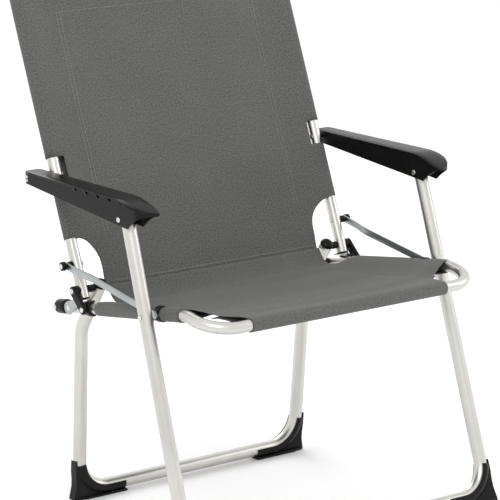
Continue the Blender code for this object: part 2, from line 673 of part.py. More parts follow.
def build_armrests(plastic, steel):
    """Channels that open downwards, on the front leg's end and beside the back tube."""
    run = (ARM_REAR - ARM_FRONT)
    run = run.normalized()
    top_rear = ARM_REAR + run * ARM_LENGTH_REAR + Vector((0, ARM_TOP_ABOVE))
    top_front = Vector((ARM_FRONT.x, top_rear.y))
    nose = Vector((ARM_FRONT.x - ARM_NOSE, top_rear.y - ARM_NOSE_DROP))
    chin = Vector((ARM_FRONT.x - ARM_NOSE * 0.43, top_front.y - ARM_FRONT_DEPTH))
    brow = Vector((ARM_FRONT.x - ARM_NOSE * 0.55, top_rear.y - ARM_NOSE_DROP * 0.28))
    outline = [top_rear, top_front, brow, nose, nose - Vector((0, 0.003)), chin,
               Vector((top_rear.x, top_rear.y - ARM_REAR_DEPTH))]
    roof = ARM_ROOF
    for hand in (-1, 1):
        inner = ARM_IN
        outer = LEG_OUT_AT_SEAT + HEAD_HEIGHT + FREE + ARM_WALL
        body = plate(side_name("armrest", hand), outline,
                     *sorted((hand * inner, hand * outer)), plastic)
        low_chin = chin - Vector((0, 0.02))
        low_rear = Vector((top_rear.x - 0.004, top_rear.y - ARM_REAR_DEPTH - 0.02))
        channel = [Vector((top_rear.x - 0.004, top_rear.y - roof)),
                   Vector((top_front.x, top_front.y - roof)),
                   Vector((brow.x, brow.y - roof)),
                   Vector((nose.x + 0.004, nose.y - roof * 0.6)),
                   Vector((nose.x - 0.02, nose.y - roof)),
                   Vector((nose.x - 0.02, low_chin.y)), low_rear]
        cutter = plate("channel", channel,
                       *sorted((hand * (inner + ARM_WALL), hand * (outer - ARM_WALL))))
        cut(body, cutter)
        cut(body, arm_roof(hand, top_rear, top_front, brow, nose, inner, outer), 'UNION')
        settle(body)
        across = sorted((hand * FRAME_IN, hand * (outer + HEAD_HEIGHT)))
        drill([body], ARM_FRONT, *across)
        drill([body], ARM_REAR, *sorted((hand * FRAME_IN, hand * (inner + ARM_WALL + 0.004))))
        bolt("armrest_front_rivet", ARM_FRONT, hand, outer, inner, steel)
        # the rear pin ends short of the channel, so that the armrest can leave it in the fold
        spacer = inner - HEAD_HEIGHT - FRAME_OUT - 3 * GAP
        bolt("armrest_rear_rivet", ARM_REAR, hand, FRAME_OUT + GAP + spacer, FRAME_IN, steel)
        ring_piece(side_name("armrest_spacer", hand), point(hand * (FRAME_OUT + GAP), ARM_REAR),
                   X * hand, spacer, ARM_SPACER_RADIUS, BOLT_RADIUS + GAP, plastic)


# ---- fabric -----------------------------------------------------------------------------
def panel(name, rows, thickness, finish):
    """A closed sheet through rows of points, thickened to both sides."""
    builder = bmesh.new()
    faces = []
    layers = []
    for side in (-0.5, 0.5):
        grid = []
        for index, row in enumerate(rows):
            after = rows[min(index + 1, len(rows) - 1)][0]
            before = rows[max(index - 1, 0)][0]
            run = Vector((0, after.y - before.y, after.z - before.z)).normalized()
            offset = run.cross(X) * thickness * side
            grid.append([builder.verts.new(place + offset) for place in row])
        layers.append(grid)
        for low, high in zip(grid, grid[1:]):
            for step in range(len(low) - 1):
                builder.faces.new((low[step], low[step + 1], high[step + 1], high[step]))
    rims = []
    for grid in layers:
        right = [row[-1] for row in grid]
        left = [row[0] for row in grid]
        rims.append(grid[0] + right[1:] + list(reversed(grid[-1]))[1:] + list(reversed(left))[1:-1])
    skin(rims, builder)
    return add(name, builder, finish)


def flat_panel(name, outline, normal, thickness, finish):
    """A flat closed sheet with the given outline."""
    builder = bmesh.new()
    low = [builder.verts.new(place - normal * thickness / 2) for place in outline]
    high = [builder.verts.new(place + normal * thickness / 2) for place in outline]
    skin([low, high], builder)
    builder.faces.new(low)
    builder.faces.new(high)
    return add(name, builder, finish)


def block(name, size, middle, turn=None):
    """A plain block, used to trim other pieces."""
    builder = bmesh.new()
    bmesh.ops.create_cube(builder, size=1.0)
    bmesh.ops.scale(builder, verts=builder.verts, vec=size)
    if turn is not None:
        bmesh.ops.transform(builder, verts=builder.verts, matrix=turn)
    bmesh.ops.translate(builder, verts=builder.verts, vec=middle)
    return add(name, builder, None)


def build_back_fabric(cloth):
    """A sleeve over the back frame's sides and top, and a panel down to the seat seam."""
    half, radii = back_path()
    low = [point(-FRAME_HALF, up_back(BACK_SLEEVE_LOW)), half[1]]
    sleeve = whole((low, radii))
    panel_edge = [point(-FRAME_HALF, up_back(BACK_SLEEVE_LOW + 0.001))] + sleeve[1:-1]
    panel_edge.append(point(FRAME_HALF, up_back(BACK_SLEEVE_LOW + 0.001)))
    outline = list(panel_edge)
    scallop = []
    for step in range(1, 7):
        angle = math.pi / 2 * step / 6
        drop = (BACK_SLEEVE_LOW - BACK_SCALLOP) * math.sin(angle)
        inward = (FRAME_HALF - SEAM_HALF) * (1 - math.cos(angle))
        scallop.append((FRAME_HALF - inward, BACK_SLEEVE_LOW - drop))
    scallop.append((SEAM_HALF, SEAM_HEIGHT + 0.003))
    outline += [point(across, up_back(height)) for across, height in scallop]
    outline += [point(-across, up_back(height)) for across, height in reversed(scallop)]
    normal = Vector((0, math.cos(BACK_LEAN), -math.sin(BACK_LEAN)))
    made = flat_panel("back_fabric", outline, normal, CLOTH_PANEL, cloth)
    cut(made, rod("sleeve", sleeve, SLEEVE_RADIUS), 'UNION')
    cut(made, rod("bore", whole(back_path()), FRAME_RADIUS + SLEEVE_CLEAR))
    tilt = Matrix.Rotation(-BACK_LEAN, 4, 'X')
    size = Vector((0.04, 0.04, ARM_NOTCH_HIGH - ARM_NOTCH_LOW))
    for hand in (-1, 1):
        place = point(hand * (FRAME_IN - ARM_NOTCH_DEPTH + size.x / 2),
                      up_back((ARM_NOTCH_LOW + ARM_NOTCH_HIGH) / 2))
        cut(made, block("notch", size, place, tilt))
    settle(made)
    return made


def build_seat_fabric(cloth):
    """A sleeve over the rails and the front rail, and a panel that rises to the back seam."""
    fall = SEAT_SLOPE - SEAT_DROP
    rear = along_rail(SEAT_SLEEVE_REAR)
    bend = along_rail(-SEAT_BEND)
    nose = Vector((bend.x - SEAT_NOSE * math.cos(fall), bend.y + SEAT_NOSE * math.sin(fall)))
    profile = [(nose, FRONT_SLEEVE_HALF - 0.001),
               (nose + (bend - nose) * 0.3, FRONT_SLEEVE_HALF),
               (nose + (bend - nose) * 0.7, FRONT_SLEEVE_HALF + 0.02),
               (along_rail(-SEAT_SLEEVE_FRONT + 0.001), FRAME_HALF),
               (along_rail(SEAT_SLEEVE_REAR * 0.5), FRAME_HALF),
               (along_rail(SEAT_SLEEVE_REAR - 0.02), FRAME_HALF),
               (along_rail(SEAT_SLEEVE_REAR - 0.001), SEAM_HALF + 0.012),
               (along_rail(SEAT_SLEEVE_REAR + 0.012, SEAT_RISE * 0.4), SEAM_HALF),
               (along_rail(SEAT_SLEEVE_REAR + 0.019, SEAT_RISE), SEAM_HALF)]
    rows = [[point(-half, place), point(half, place)] for place, half in profile]
    made = panel("seat_fabric", rows, CLOTH_PANEL, cloth)
    bore = FRAME_RADIUS + SLEEVE_CLEAR
    for hand in (-1, 1):
        side = [point(hand * FRAME_HALF, rear),
                point(hand * FRAME_HALF, along_rail(-SEAT_SLEEVE_FRONT))]
        cut(made, rod("side_sleeve", side, SLEEVE_RADIUS), 'UNION')
    bar = [point(-FRONT_SLEEVE_HALF, nose), point(FRONT_SLEEVE_HALF, nose)]
    cut(made, rod("front_sleeve", bar, SLEEVE_RADIUS), 'UNION')
    cut(made, rod("bore", whole(seat_path()), bore))
    # room for the saddles of the seat pivots
    size = Vector((0.03, SADDLE_LENGTH + 0.002, 0.04))
    tilt = Matrix.Rotation(-SEAT_SLOPE, 4, 'X')
    for hand in (-1, 1):
        place = point(hand * (FRAME_HALF - SADDLE_DEPTH - 0.0005 + size.x / 2), SEAT_PIVOT)
        cut(made, block("relief", size, place, tilt))
        settle(made)
        inside = sorted((hand * (FRAME_HALF - SLEEVE_RADIUS - 0.006), hand * FRAME_HALF))
        drill([made], SEAT_PIVOT, *inside, radius=HEAD_RADIUS + FREE)
    return made


# ---- placing ----------------------------------------------------------------------------
PIVOT_OF = {
    "rear_leg": REAR_HINGE, "rear_foot": REAR_HINGE, "hinge_plate": REAR_HINGE,
    "back_": BACK_HINGE, "hinge_link": BACK_HINGE, "link_rivet": BACK_HINGE,
    "front_": SEAT_PIVOT, "side_strut": SEAT_PIVOT, "armrest": ARM_FRONT,
}


def place_pieces():
    """Centre the chair on the origin, and put each moving piece's origin on its joint."""
    pieces = [piece for piece in bpy.context.scene.objects if piece.type == 'MESH']
    depths = [corner.co.y for piece in pieces for corner in piece.data.vertices]
    shift = -(min(depths) + max(depths)) / 2
    chair = bpy.data.objects.new("chair", None)
    bpy.context.scene.collection.objects.link(chair)
    chair.location.y = shift
    for piece in pieces:
        origin = Vector((0, 0, 0))
        for start, pivot in PIVOT_OF.items():
            if piece.name.startswith(start):
                origin = point(0.0, pivot)
        piece.data.transform(Matrix.Translation(-origin))
        piece.location = origin
        piece.parent = chair


def build():
    for old in list(bpy.data.objects):
        bpy.data.objects.remove(old)
    metal = material("anodised_aluminium", (0.78, 0.77, 0.74), 0.34, 1.0)
    strut_metal = material("flattened_aluminium", (0.62, 0.64, 0.64), 0.36, 1.0)
    plastic = material("black_plastic", (0.022, 0.022, 0.021), 0.42)
    steel = material("bright_steel", (0.72, 0.72, 0.72), 0.25, 1.0)
    cloth = material("grey_fabric", (0.115, 0.115, 0.11), 0.85)
    frames = build_frames(metal)
    build_hinges(strut_metal, plastic, steel, frames)
    build_struts(strut_metal, plastic, steel)
    build_caps(plastic, steel)
    for hand in (-1, 1):
        foot("front_foot", front_leg_path(), hand, plastic)
        foot("rear_foot", rear_leg_path(), hand, plastic)
    build_armrests(plastic, steel)
    build_back_fabric(cloth)
    build_seat_fabric(cloth)
    place_pieces()


build()
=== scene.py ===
"""The looks of a folding camp chair: bent tube, woven sling cloth and moulded plastic."""
import math

import bpy
from mathutils import Matrix, Vector


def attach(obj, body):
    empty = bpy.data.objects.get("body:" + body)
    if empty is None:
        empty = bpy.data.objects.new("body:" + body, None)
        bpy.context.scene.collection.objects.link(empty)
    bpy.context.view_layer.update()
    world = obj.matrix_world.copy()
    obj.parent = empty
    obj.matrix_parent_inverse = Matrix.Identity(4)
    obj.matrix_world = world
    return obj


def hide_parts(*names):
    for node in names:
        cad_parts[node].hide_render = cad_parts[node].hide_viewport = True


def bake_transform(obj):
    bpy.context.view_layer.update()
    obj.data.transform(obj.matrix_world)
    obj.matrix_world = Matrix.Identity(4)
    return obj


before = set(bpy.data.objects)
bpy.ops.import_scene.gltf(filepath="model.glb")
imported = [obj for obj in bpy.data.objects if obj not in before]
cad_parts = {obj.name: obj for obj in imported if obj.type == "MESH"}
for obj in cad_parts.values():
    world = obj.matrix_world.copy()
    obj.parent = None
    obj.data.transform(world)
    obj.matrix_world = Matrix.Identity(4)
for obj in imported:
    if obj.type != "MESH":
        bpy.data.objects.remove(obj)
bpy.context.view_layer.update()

# ---- sizes, in metres; a side point is (y, z) ---------------------------------------------
LEG = 0.011
TUBE = 0.0095
HALF = 0.2645                     # middle of the seat and back tubes
FRONT_TOP, FRONT_FLOOR = 0.2930, 0.3008
REAR_TOP, REAR_FLOOR = 0.2315, 0.2250
SLOPE = math.radians(8.97)
BACK_LEAN = math.radians(21.69)
FRONT_LEAN = math.radians(18.3)
REAR_LEAN = math.radians(4.4)
BAR_HEIGHT = 0.0145
TOP = 0.5485                      # top tube, up the back from the rail
CORNER = 0.045                    # bend at the back's upper corners
LEG_CORNER = 0.054                # bend between a leg and its floor bar
SHOE_LENGTH = 0.0880              # along the floor bar, from the line of the leg
SHOE_CORNER = 0.0120              # how far the shoe sticks out past the line of the leg
CLOTH = 0.0009
WRAP = 0.0100                     # cloth around a frame tube, from the middle of the tube
PIVOT_HEIGHT = 0.3823             # seat pivot above the floor
BACK_FOOT = 0.0160                # lower end of the back tube, up the back
NOSE_RUN, NOSE_DROP = 0.0658, math.radians(11.23)     # front of the seat frame past its bend
SEAT_PIVOT = Vector((-0.140586, PIVOT_HEIGHT))
THROUGH = Vector((1, 0, 0))


def rail(distance, rise=0.0):
    """A side point behind the seat pivot, along the seat rail."""
    return SEAT_PIVOT + Vector((distance * math.cos(SLOPE) + rise * math.sin(SLOPE),
                                rise * math.cos(SLOPE) - distance * math.sin(SLOPE)))


def back(distance, behind=0.0):
    """A side point up the back frame from where its line meets the rail."""
    return rail(0.2110) + Vector((distance * math.sin(BACK_LEAN) + behind * math.cos(BACK_LEAN),
                                  distance * math.cos(BACK_LEAN) - behind * math.sin(BACK_LEAN)))


def front_leg(distance):
    return SEAT_PIVOT + Vector((math.sin(FRONT_LEAN), math.cos(FRONT_LEAN))) * distance


def at(x, side):
    return Vector((x, side.x, side.y))


REAR_HINGE = rail(0.2450)
BACK_HINGE = back(0.0297)
LINK_FOOT = rail(0.1944)
STRUT_HINGE = back(0.0717)
ARM_REAR = back(0.2191)
ARM_FRONT = front_leg(0.1530)
FRONT_END = front_leg(0.1690)
FRONT_FOOT = front_leg((BAR_HEIGHT - PIVOT_HEIGHT) / math.cos(FRONT_LEAN))
UPPER_RUN = (BACK_HINGE - REAR_HINGE).normalized()
KNEE = REAR_HINGE - UPPER_RUN * 0.058
REAR_TIP = BACK_HINGE + UPPER_RUN * 0.0045
REAR_FOOT = Vector((KNEE.x + (KNEE.y - BAR_HEIGHT) * math.tan(REAR_LEAN), BAR_HEIGHT))
BEND = rail(-0.0654)
NOSE = BEND + Vector((-NOSE_RUN * math.cos(NOSE_DROP), -NOSE_RUN * math.sin(NOSE_DROP)))


def smooth(share):
    share = min(1.0, max(0.0, share))
    return share * share * (3 - 2 * share)


def spread(height, floor, top, top_height):
    return floor + (height - BAR_HEIGHT) / (top_height - BAR_HEIGHT) * (top - floor)


def front_half(height):
    return spread(height, FRONT_FLOOR, FRONT_TOP, FRONT_END.y)


def rear_half(height):
    return spread(height, REAR_FLOOR, REAR_TOP, REAR_TIP.y)


# ---- finishes -----------------------------------------------------------------------------
def finish_base(name, colour, roughness, metallic=0.0):
    made = bpy.data.materials.new(name)
    made.use_nodes = True
    nodes = made.node_tree.nodes
    shader = nodes["Principled BSDF"]
    shader.inputs["Base Color"].default_value = (*colour, 1)
    shader.inputs["Roughness"].default_value = roughness
    shader.inputs["Metallic"].default_value = metallic
    return made, nodes, made.node_tree.links, shader


def colour_ramp(nodes, *stops):
    ramp = nodes.new("ShaderNodeValToRGB")
    for element, (position, colour) in zip(ramp.color_ramp.elements, stops):
        element.position = position
        element.color = (*colour, 1)
    return ramp


def raise_surface(nodes, links, height, shader, strength, distance):
    raised = nodes.new("ShaderNodeBump")
    raised.inputs["Strength"].default_value = strength
    raised.inputs["Distance"].default_value = distance
    links.new(height, raised.inputs["Height"])
    links.new(raised.outputs["Normal"], shader.inputs["Normal"])


def mottled(name, dark, light, rough, scale, metallic=0.0, bump=0.0):
    """A finish whose colour and roughness wander a little, with a fine surface grain."""
    made, nodes, links, shader = finish_base(name, light, rough[0], metallic)
    where = nodes.new("ShaderNodeTexCoord")
    noise = nodes.new("ShaderNodeTexNoise")
    noise.inputs["Scale"].default_value = scale
    noise.inputs["Detail"].default_value = 4.0
    links.new(where.outputs["Object"], noise.inputs["Vector"])
    ramp = colour_ramp(nodes, (0.3, dark), (0.7, light))
    links.new(noise.outputs["Fac"], ramp.inputs["Fac"])
    links.new(ramp.outputs["Color"], shader.inputs["Base Color"])
    span = nodes.new("ShaderNodeMapRange")
    span.inputs["To Min"].default_value = rough[0]
    span.inputs["To Max"].default_value = rough[1]
    links.new(noise.outputs["Fac"], span.inputs["Value"])
    links.new(span.outputs["Result"], shader.inputs["Roughness"])
    if bump:
        grain = nodes.new("ShaderNodeTexNoise")
        grain.inputs["Scale"].default_value = scale * 22
        grain.inputs["Detail"].default_value = 2.0
        links.new(where.outputs["Object"], grain.inputs["Vector"])
        raise_surface(nodes, links, grain.outputs["Fac"], shader, bump, 0.0003)
    return made


def woven(name, dark, light, pitch):
    """Plain weave on the cloth's own flat measure, with slubs and a soft sheen."""
    made, nodes, links, shader = finish_base(name, light, 0.86)
    shader.inputs["Sheen Weight"].default_value = 0.12
    shader.inputs["Sheen Roughness"].default_value = 0.5
    shader.inputs["Specular IOR Level"].default_value = 0.3
    flat = nodes.new("ShaderNodeUVMap")
    flat.uv_map = "flat"
    waves = []
    for direction in ('X', 'Y'):
        wave = nodes.new("ShaderNodeTexWave")
        wave.bands_direction = direction
        wave.inputs["Scale"].default_value = 1.0 / pitch / 20 * math.pi * 2
        wave.inputs["Distortion"].default_value = 0.6
        wave.inputs["Detail"].default_value = 1.0
        links.new(flat.outputs["UV"], wave.inputs["Vector"])
        waves.append(wave)
    cross = nodes.new("ShaderNodeMath")
    cross.operation = 'MULTIPLY'
    links.new(waves[0].outputs["Fac"], cross.inputs[0])
    links.new(waves[1].outputs["Fac"], cross.inputs[1])
    slub = nodes.new("ShaderNodeTexNoise")
    slub.inputs["Scale"].default_value = 420.0
    slub.inputs["Detail"].default_value = 3.0
    links.new(flat.outputs["UV"], slub.inputs["Vector"])
    cloudy = nodes.new("ShaderNodeTexNoise")
    cloudy.inputs["Scale"].default_value = 9.0
    links.new(flat.outputs["UV"], cloudy.inputs["Vector"])
    blend = nodes.new("ShaderNodeMath")
    blend.operation = 'MULTIPLY_ADD'
    links.new(cross.outputs["Value"], blend.inputs[0])
    blend.inputs[1].default_value = 0.30
    links.new(slub.outputs["Fac"], blend.inputs[2])
    mixed = nodes.new("ShaderNodeMath")
    mixed.operation = 'MULTIPLY_ADD'
    links.new(cloudy.outputs["Fac"], mixed.inputs[0])
    mixed.inputs[1].default_value = 0.12
    links.new(blend.outputs["Value"], mixed.inputs[2])
    ramp = colour_ramp(nodes, (0.36, dark), (0.86, light))
    links.new(mixed.outputs["Value"], ramp.inputs["Fac"])
    links.new(ramp.outputs["Color"], shader.inputs["Base Color"])
    raise_surface(nodes, links, mixed.outputs["Value"], shader, 0.8, 0.0006)
    return made


ALUMINIUM = mottled("satin_anodised_tube", (0.57, 0.555, 0.53), (0.66, 0.645, 0.615),
                    (0.28, 0.38), 9.0, 1.0, 0.10)
FLAT_METAL = mottled("flattened_strut", (0.36, 0.375, 0.38), (0.46, 0.475, 0.48), (0.28, 0.40),
                     14.0, 1.0, 0.15)
STEEL = mottled("plated_rivet", (0.62, 0.62, 0.61), (0.75, 0.75, 0.74), (0.20, 0.34), 60.0, 1.0)
PLASTIC = mottled("moulded_black", (0.004, 0.004, 0.0038), (0.008, 0.008, 0.0076), (0.22, 0.36),
                  40.0, 0.0, 0.20)
PLASTIC.node_tree.nodes["Principled BSDF"].inputs["Specular IOR Level"].default_value = 0.16
THREAD = mottled("sewing_thread", (0.19, 0.19, 0.18), (0.30, 0.30, 0.28), (0.7, 0.9), 300.0)
SLING = woven("sling_cloth", (0.042, 0.042, 0.040), (0.150, 0.151, 0.147), 0.0013)


# ---- shaping ------------------------------------------------------------------------------
def pick(piece):
    bpy.ops.object.select_all(action='DESELECT')
    piece.select_set(True)
    bpy.context.view_layer.objects.active = piece


def tidy_faces(piece, angle, weld=0.0):
    """Turns the faces outward and smooths them; the active piece is the one worked on."""
    bpy.ops.object.mode_set(mode='EDIT')
    bpy.ops.mesh.select_all(action='SELECT')
    if weld:
        bpy.ops.mesh.remove_doubles(threshold=weld)
    bpy.ops.mesh.normals_make_consistent(inside=False)
    bpy.ops.object.mode_set(mode='OBJECT')
    bpy.ops.object.shade_smooth_by_angle(angle=math.radians(angle))
    return piece


def shape(name, points, faces, finish, angle=40.0):
    mesh = bpy.data.meshes.new(name)
    mesh.from_pydata([tuple(place) for place in points], [], faces)
    mesh.materials.append(finish)
    made = bpy.data.objects.new(name, mesh)
    bpy.context.scene.collection.objects.link(made)
    pick(made)
    return tidy_faces(made, angle)


def apply(piece, kind, **values):
    pick(piece)
    modifier = piece.modifiers.new("work", kind)
    for key, value in values.items():
        setattr(modifier, key, value)
    bpy.ops.object.modifier_apply(modifier=modifier.name)
    return piece


def loft(name, rows, finish, angle=40.0):
    """Joins rows of points, each once around the piece, and caps both ends."""
    count = len(rows[0])
    points = [place for row in rows for place in row]
    faces = []
    for index in range(len(rows) - 1):
        for step in range(count):
            after = (step + 1) % count
            faces.append((index * count + step, index * count + after,
                          (index + 1) * count + after, (index + 1) * count + step))
    faces.append(tuple(range(count)))
    faces.append(tuple(range((len(rows) - 1) * count, len(rows) * count)))
    return shape(name, points, faces, finish, angle)


def bevelled(piece, width, segments=3):
    apply(piece, 'BEVEL', width=width, segments=segments, limit_method='ANGLE',
          angle_limit=math.radians(35), harden_normals=False)
    pick(piece)
    bpy.ops.object.shade_smooth_by_angle(angle=math.radians(40))
    return piece


def turned(name, start, direction, profile, finish, sides=36):
    """A piece off the lathe: (distance, radius) pairs from one end to the other."""
    direction = direction.normalized()
    normal = direction.orthogonal().normalized()
    side = direction.cross(normal)
    rows = []
    for distance, radius in profile:
        rows.append([start + direction * distance
                     + (normal * math.cos(2 * math.pi * step / sides)
                        + side * math.sin(2 * math.pi * step / sides)) * max(radius, 1e-5)
                     for step in range(sides)])
    return loft(name, rows, finish, angle=35)


def rounded(points, radii, steps=14):
    path = [points[0]]
    for index in range(1, len(points) - 1):
        corner = points[index]
        behind = (points[index - 1] - corner).normalized()
        ahead = (points[index + 1] - corner).normalized()
        half = behind.angle(ahead) / 2
        radius = radii[index - 1]
        centre = corner + (behind + ahead).normalized() * (radius / math.sin(half))
        first = corner + behind * (radius / math.tan(half)) - centre
        axis = first.cross(corner + ahead * (radius / math.tan(half)) - centre).normalized()
        turn = math.pi - 2 * half
        path += [centre + Matrix.Rotation(turn * step / steps, 3, axis) @ first
                 for step in range(steps + 1)]
    path.append(points[-1])
    return path


def bent_tube(name, path, radius, finish):
    curve = bpy.data.curves.new(name, 'CURVE')
    curve.dimensions = '3D'
    line = curve.splines.new('POLY')
    line.points.add(len(path) - 1)
    for point, place in zip(line.points, path):
        point.co = (*place, 1)
    curve.bevel_depth = radius
    curve.bevel_resolution = 8
    curve.use_fill_caps = True
    made = bpy.data.objects.new(name, curve)
    bpy.context.scene.collection.objects.link(made)
    pick(made)
    bpy.ops.object.convert(target='MESH')
    made = bpy.context.view_layer.objects.active
    made.data.materials.clear()
    made.data.materials.append(finish)
    return tidy_faces(made, 50, weld=0.00001)


def outline_plate(name, outline, x_from, x_to, finish, edge=0.0, segments=3):
    rows = [[at(x, place) for place in outline] for x in (x_from, x_to)]
    made = loft(name, rows, finish)
    if edge:
        bevelled(made, edge, segments)
    return made


def capsule(first, second, radius_first, radius_second, steps=20):
    run = second - first
    start = math.atan2(run.y, run.x)
    outline = []
    for centre, radius, turn in ((second, radius_second, -math.pi / 2),
                                 (first, radius_first, math.pi / 2)):
        for step in range(steps + 1):
            angle = start + turn + math.pi * step / steps
            outline.append(centre + Vector((math.cos(angle), math.sin(angle))) * radius)
    return outline


def join(name, pieces):
    pick(pieces[0])
    for piece in pieces[1:]:
        piece.select_set(True)
    bpy.ops.object.join()
    pieces[0].name = name
    return pieces[0]


def side(name, hand):
    return name + ("_right" if hand > 0 else "_left")


def keep(piece, body, slot, *nodes):
    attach(piece, body)
    if nodes:
        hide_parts(*nodes)
    return piece


def mirrored(points):
    return points + [Vector((-place.x, place.y, place.z)) for place in reversed(points)]


# ---- tube frames --------------------------------------------------------------------------
SEAT_LINE = rounded(mirrored([at(-HALF, rail(0.2915)), at(-HALF, BEND), at(-HALF, NOSE)]),
                    (0.070, 0.050, 0.050, 0.070))
BACK_LINE = rounded(mirrored([at(-HALF, back(BACK_FOOT)), at(-HALF, back(TOP))]), (CORNER, CORNER))
FRONT_LINE = rounded(mirrored([at(-FRONT_TOP, FRONT_END), at(-FRONT_FLOOR, FRONT_FOOT)]),
                     (LEG_CORNER, LEG_CORNER))
REAR_LINE = rounded(mirrored([at(-REAR_TOP, REAR_TIP), at(-rear_half(KNEE.y), KNEE),
                              at(-REAR_FLOOR, REAR_FOOT)]), (0.045, LEG_CORNER, LEG_CORNER, 0.045))
keep(bent_tube("seat_tube", SEAT_LINE, TUBE, ALUMINIUM), "seat", "anodised_aluminium",
     "seat_frame")
keep(bent_tube("back_tube", BACK_LINE, TUBE, ALUMINIUM), "back", "anodised_aluminium",
     "back_frame")
keep(bent_tube("front_leg_tube", FRONT_LINE, LEG, ALUMINIUM), "front_legs",
     "anodised_aluminium", "front_leg_frame")
keep(bent_tube("rear_leg_tube", REAR_LINE, LEG, ALUMINIUM), "rear_legs",
     "anodised_aluminium", "rear_leg_frame")


# ---- rivets, links, plates and struts -------------------------------------------------------
def rivet_profile(reach, head=0.0044, height=0.0017, shank=0.0025, inner_head=True):
    profile = [(-height, 0.0001), (-height, head * 0.35), (-height * 0.92, head * 0.55)]
    for step in range(1, 6):
        angle = math.pi / 2 * step / 5
        profile.append((-height * 0.85 * math.cos(angle), head * (0.6 + 0.4 * math.sin(angle))))
    profile += [(-0.0002, head), (-0.0002, shank), (reach, shank)]
    if inner_head:
        profile += [(reach, head), (reach + height * 0.5, head), (reach + height, head * 0.7),
                    (reach + height, 0.0001)]
    return profile


def rivet(name, place, hand, outer, inner, body, node, inner_head=True):
    made = turned(side(name, hand), at(hand * outer, place), -THROUGH * hand,
                  rivet_profile(outer - inner, inner_head=inner_head), STEEL, 28)
    return keep(made, body, "bright_steel", side(node, hand))


FRAME_OUT = HALF + TUBE
PLATE_IN, PLATE_OUT = FRAME_OUT + 0.0003, FRAME_OUT + 0.0028
LINK_IN = FRAME_OUT + 0.0044
LINK_OUT = LINK_IN + 0.0060
STRUT_IN = HALF + 0.0110
STRUT_OUT = STRUT_IN + 0.0040
STRUT_KICK = 0.0066               # the strut's rear end is set outward by this much
ARM_IN = STRUT_OUT + 0.0003
LEG_OUT = front_half(PIVOT_HEIGHT) + LEG
ARM_OUT = LEG_OUT + 0.0016 + 0.0008 + 0.0018


def hinge_pieces(hand):
    # the rear leg's plate, wide and round at its hinge
    tip = REAR_HINGE + Vector((-math.cos(math.radians(30)), math.sin(math.radians(30)))) * 0.0280
    made = outline_plate(side("leg_plate", hand), capsule(REAR_HINGE, tip, 0.011, 0.0065),
                         hand * PLATE_IN, hand * PLATE_OUT, FLAT_METAL, 0.0005)
    keep(made, "rear_legs", "flattened_aluminium", side("hinge_plate", hand))
    # the plastic link: a plate with a smaller plate raised on its outer face
    body = outline_plate("link", capsule(BACK_HINGE, LINK_FOOT, 0.008, 0.008),
                         hand * LINK_IN, hand * (LINK_OUT - 0.0008), PLASTIC, 0.0012)
    rim = outline_plate("rim", capsule(BACK_HINGE, LINK_FOOT, 0.0066, 0.0066),
                        hand * (LINK_OUT - 0.0012), hand * LINK_OUT, PLASTIC, 0.0004, 2)
    made = join(side("stop_link", hand), [body, rim])
    keep(made, "back", "black_plastic", side("hinge_link", hand))
    rivet("link_low_rivet", LINK_FOOT, hand, LINK_OUT, LINK_OUT - 0.004, "back", "link_rivet",
          False)
    rivet("link_top_rivet", BACK_HINGE, hand, LINK_OUT, rear_half(BACK_HINGE.y) - LEG, "back",
          "back_hinge_bolt")
    flush = [(-0.0004, 0.0001), (-0.0004, 0.0030), (-0.0001, 0.0042), (0.0016, 0.0025)]
    reach = PLATE_OUT - rear_half(REAR_HINGE.y) + LEG
    flush += [(reach, 0.0025), (reach, 0.0042), (reach + 0.0012, 0.0034), (reach + 0.0014, 0.0001)]
    made = turned(side("rear_rivet", hand), at(hand * PLATE_OUT, REAR_HINGE), -THROUGH * hand,
                  flush, STEEL, 28)
    keep(made, "rear_legs", "bright_steel", side("rear_hinge_bolt", hand))
    rivet("seat_rivet", SEAT_PIVOT, hand, LEG_OUT, HALF - TUBE, "seat", "seat_pivot_bolt")


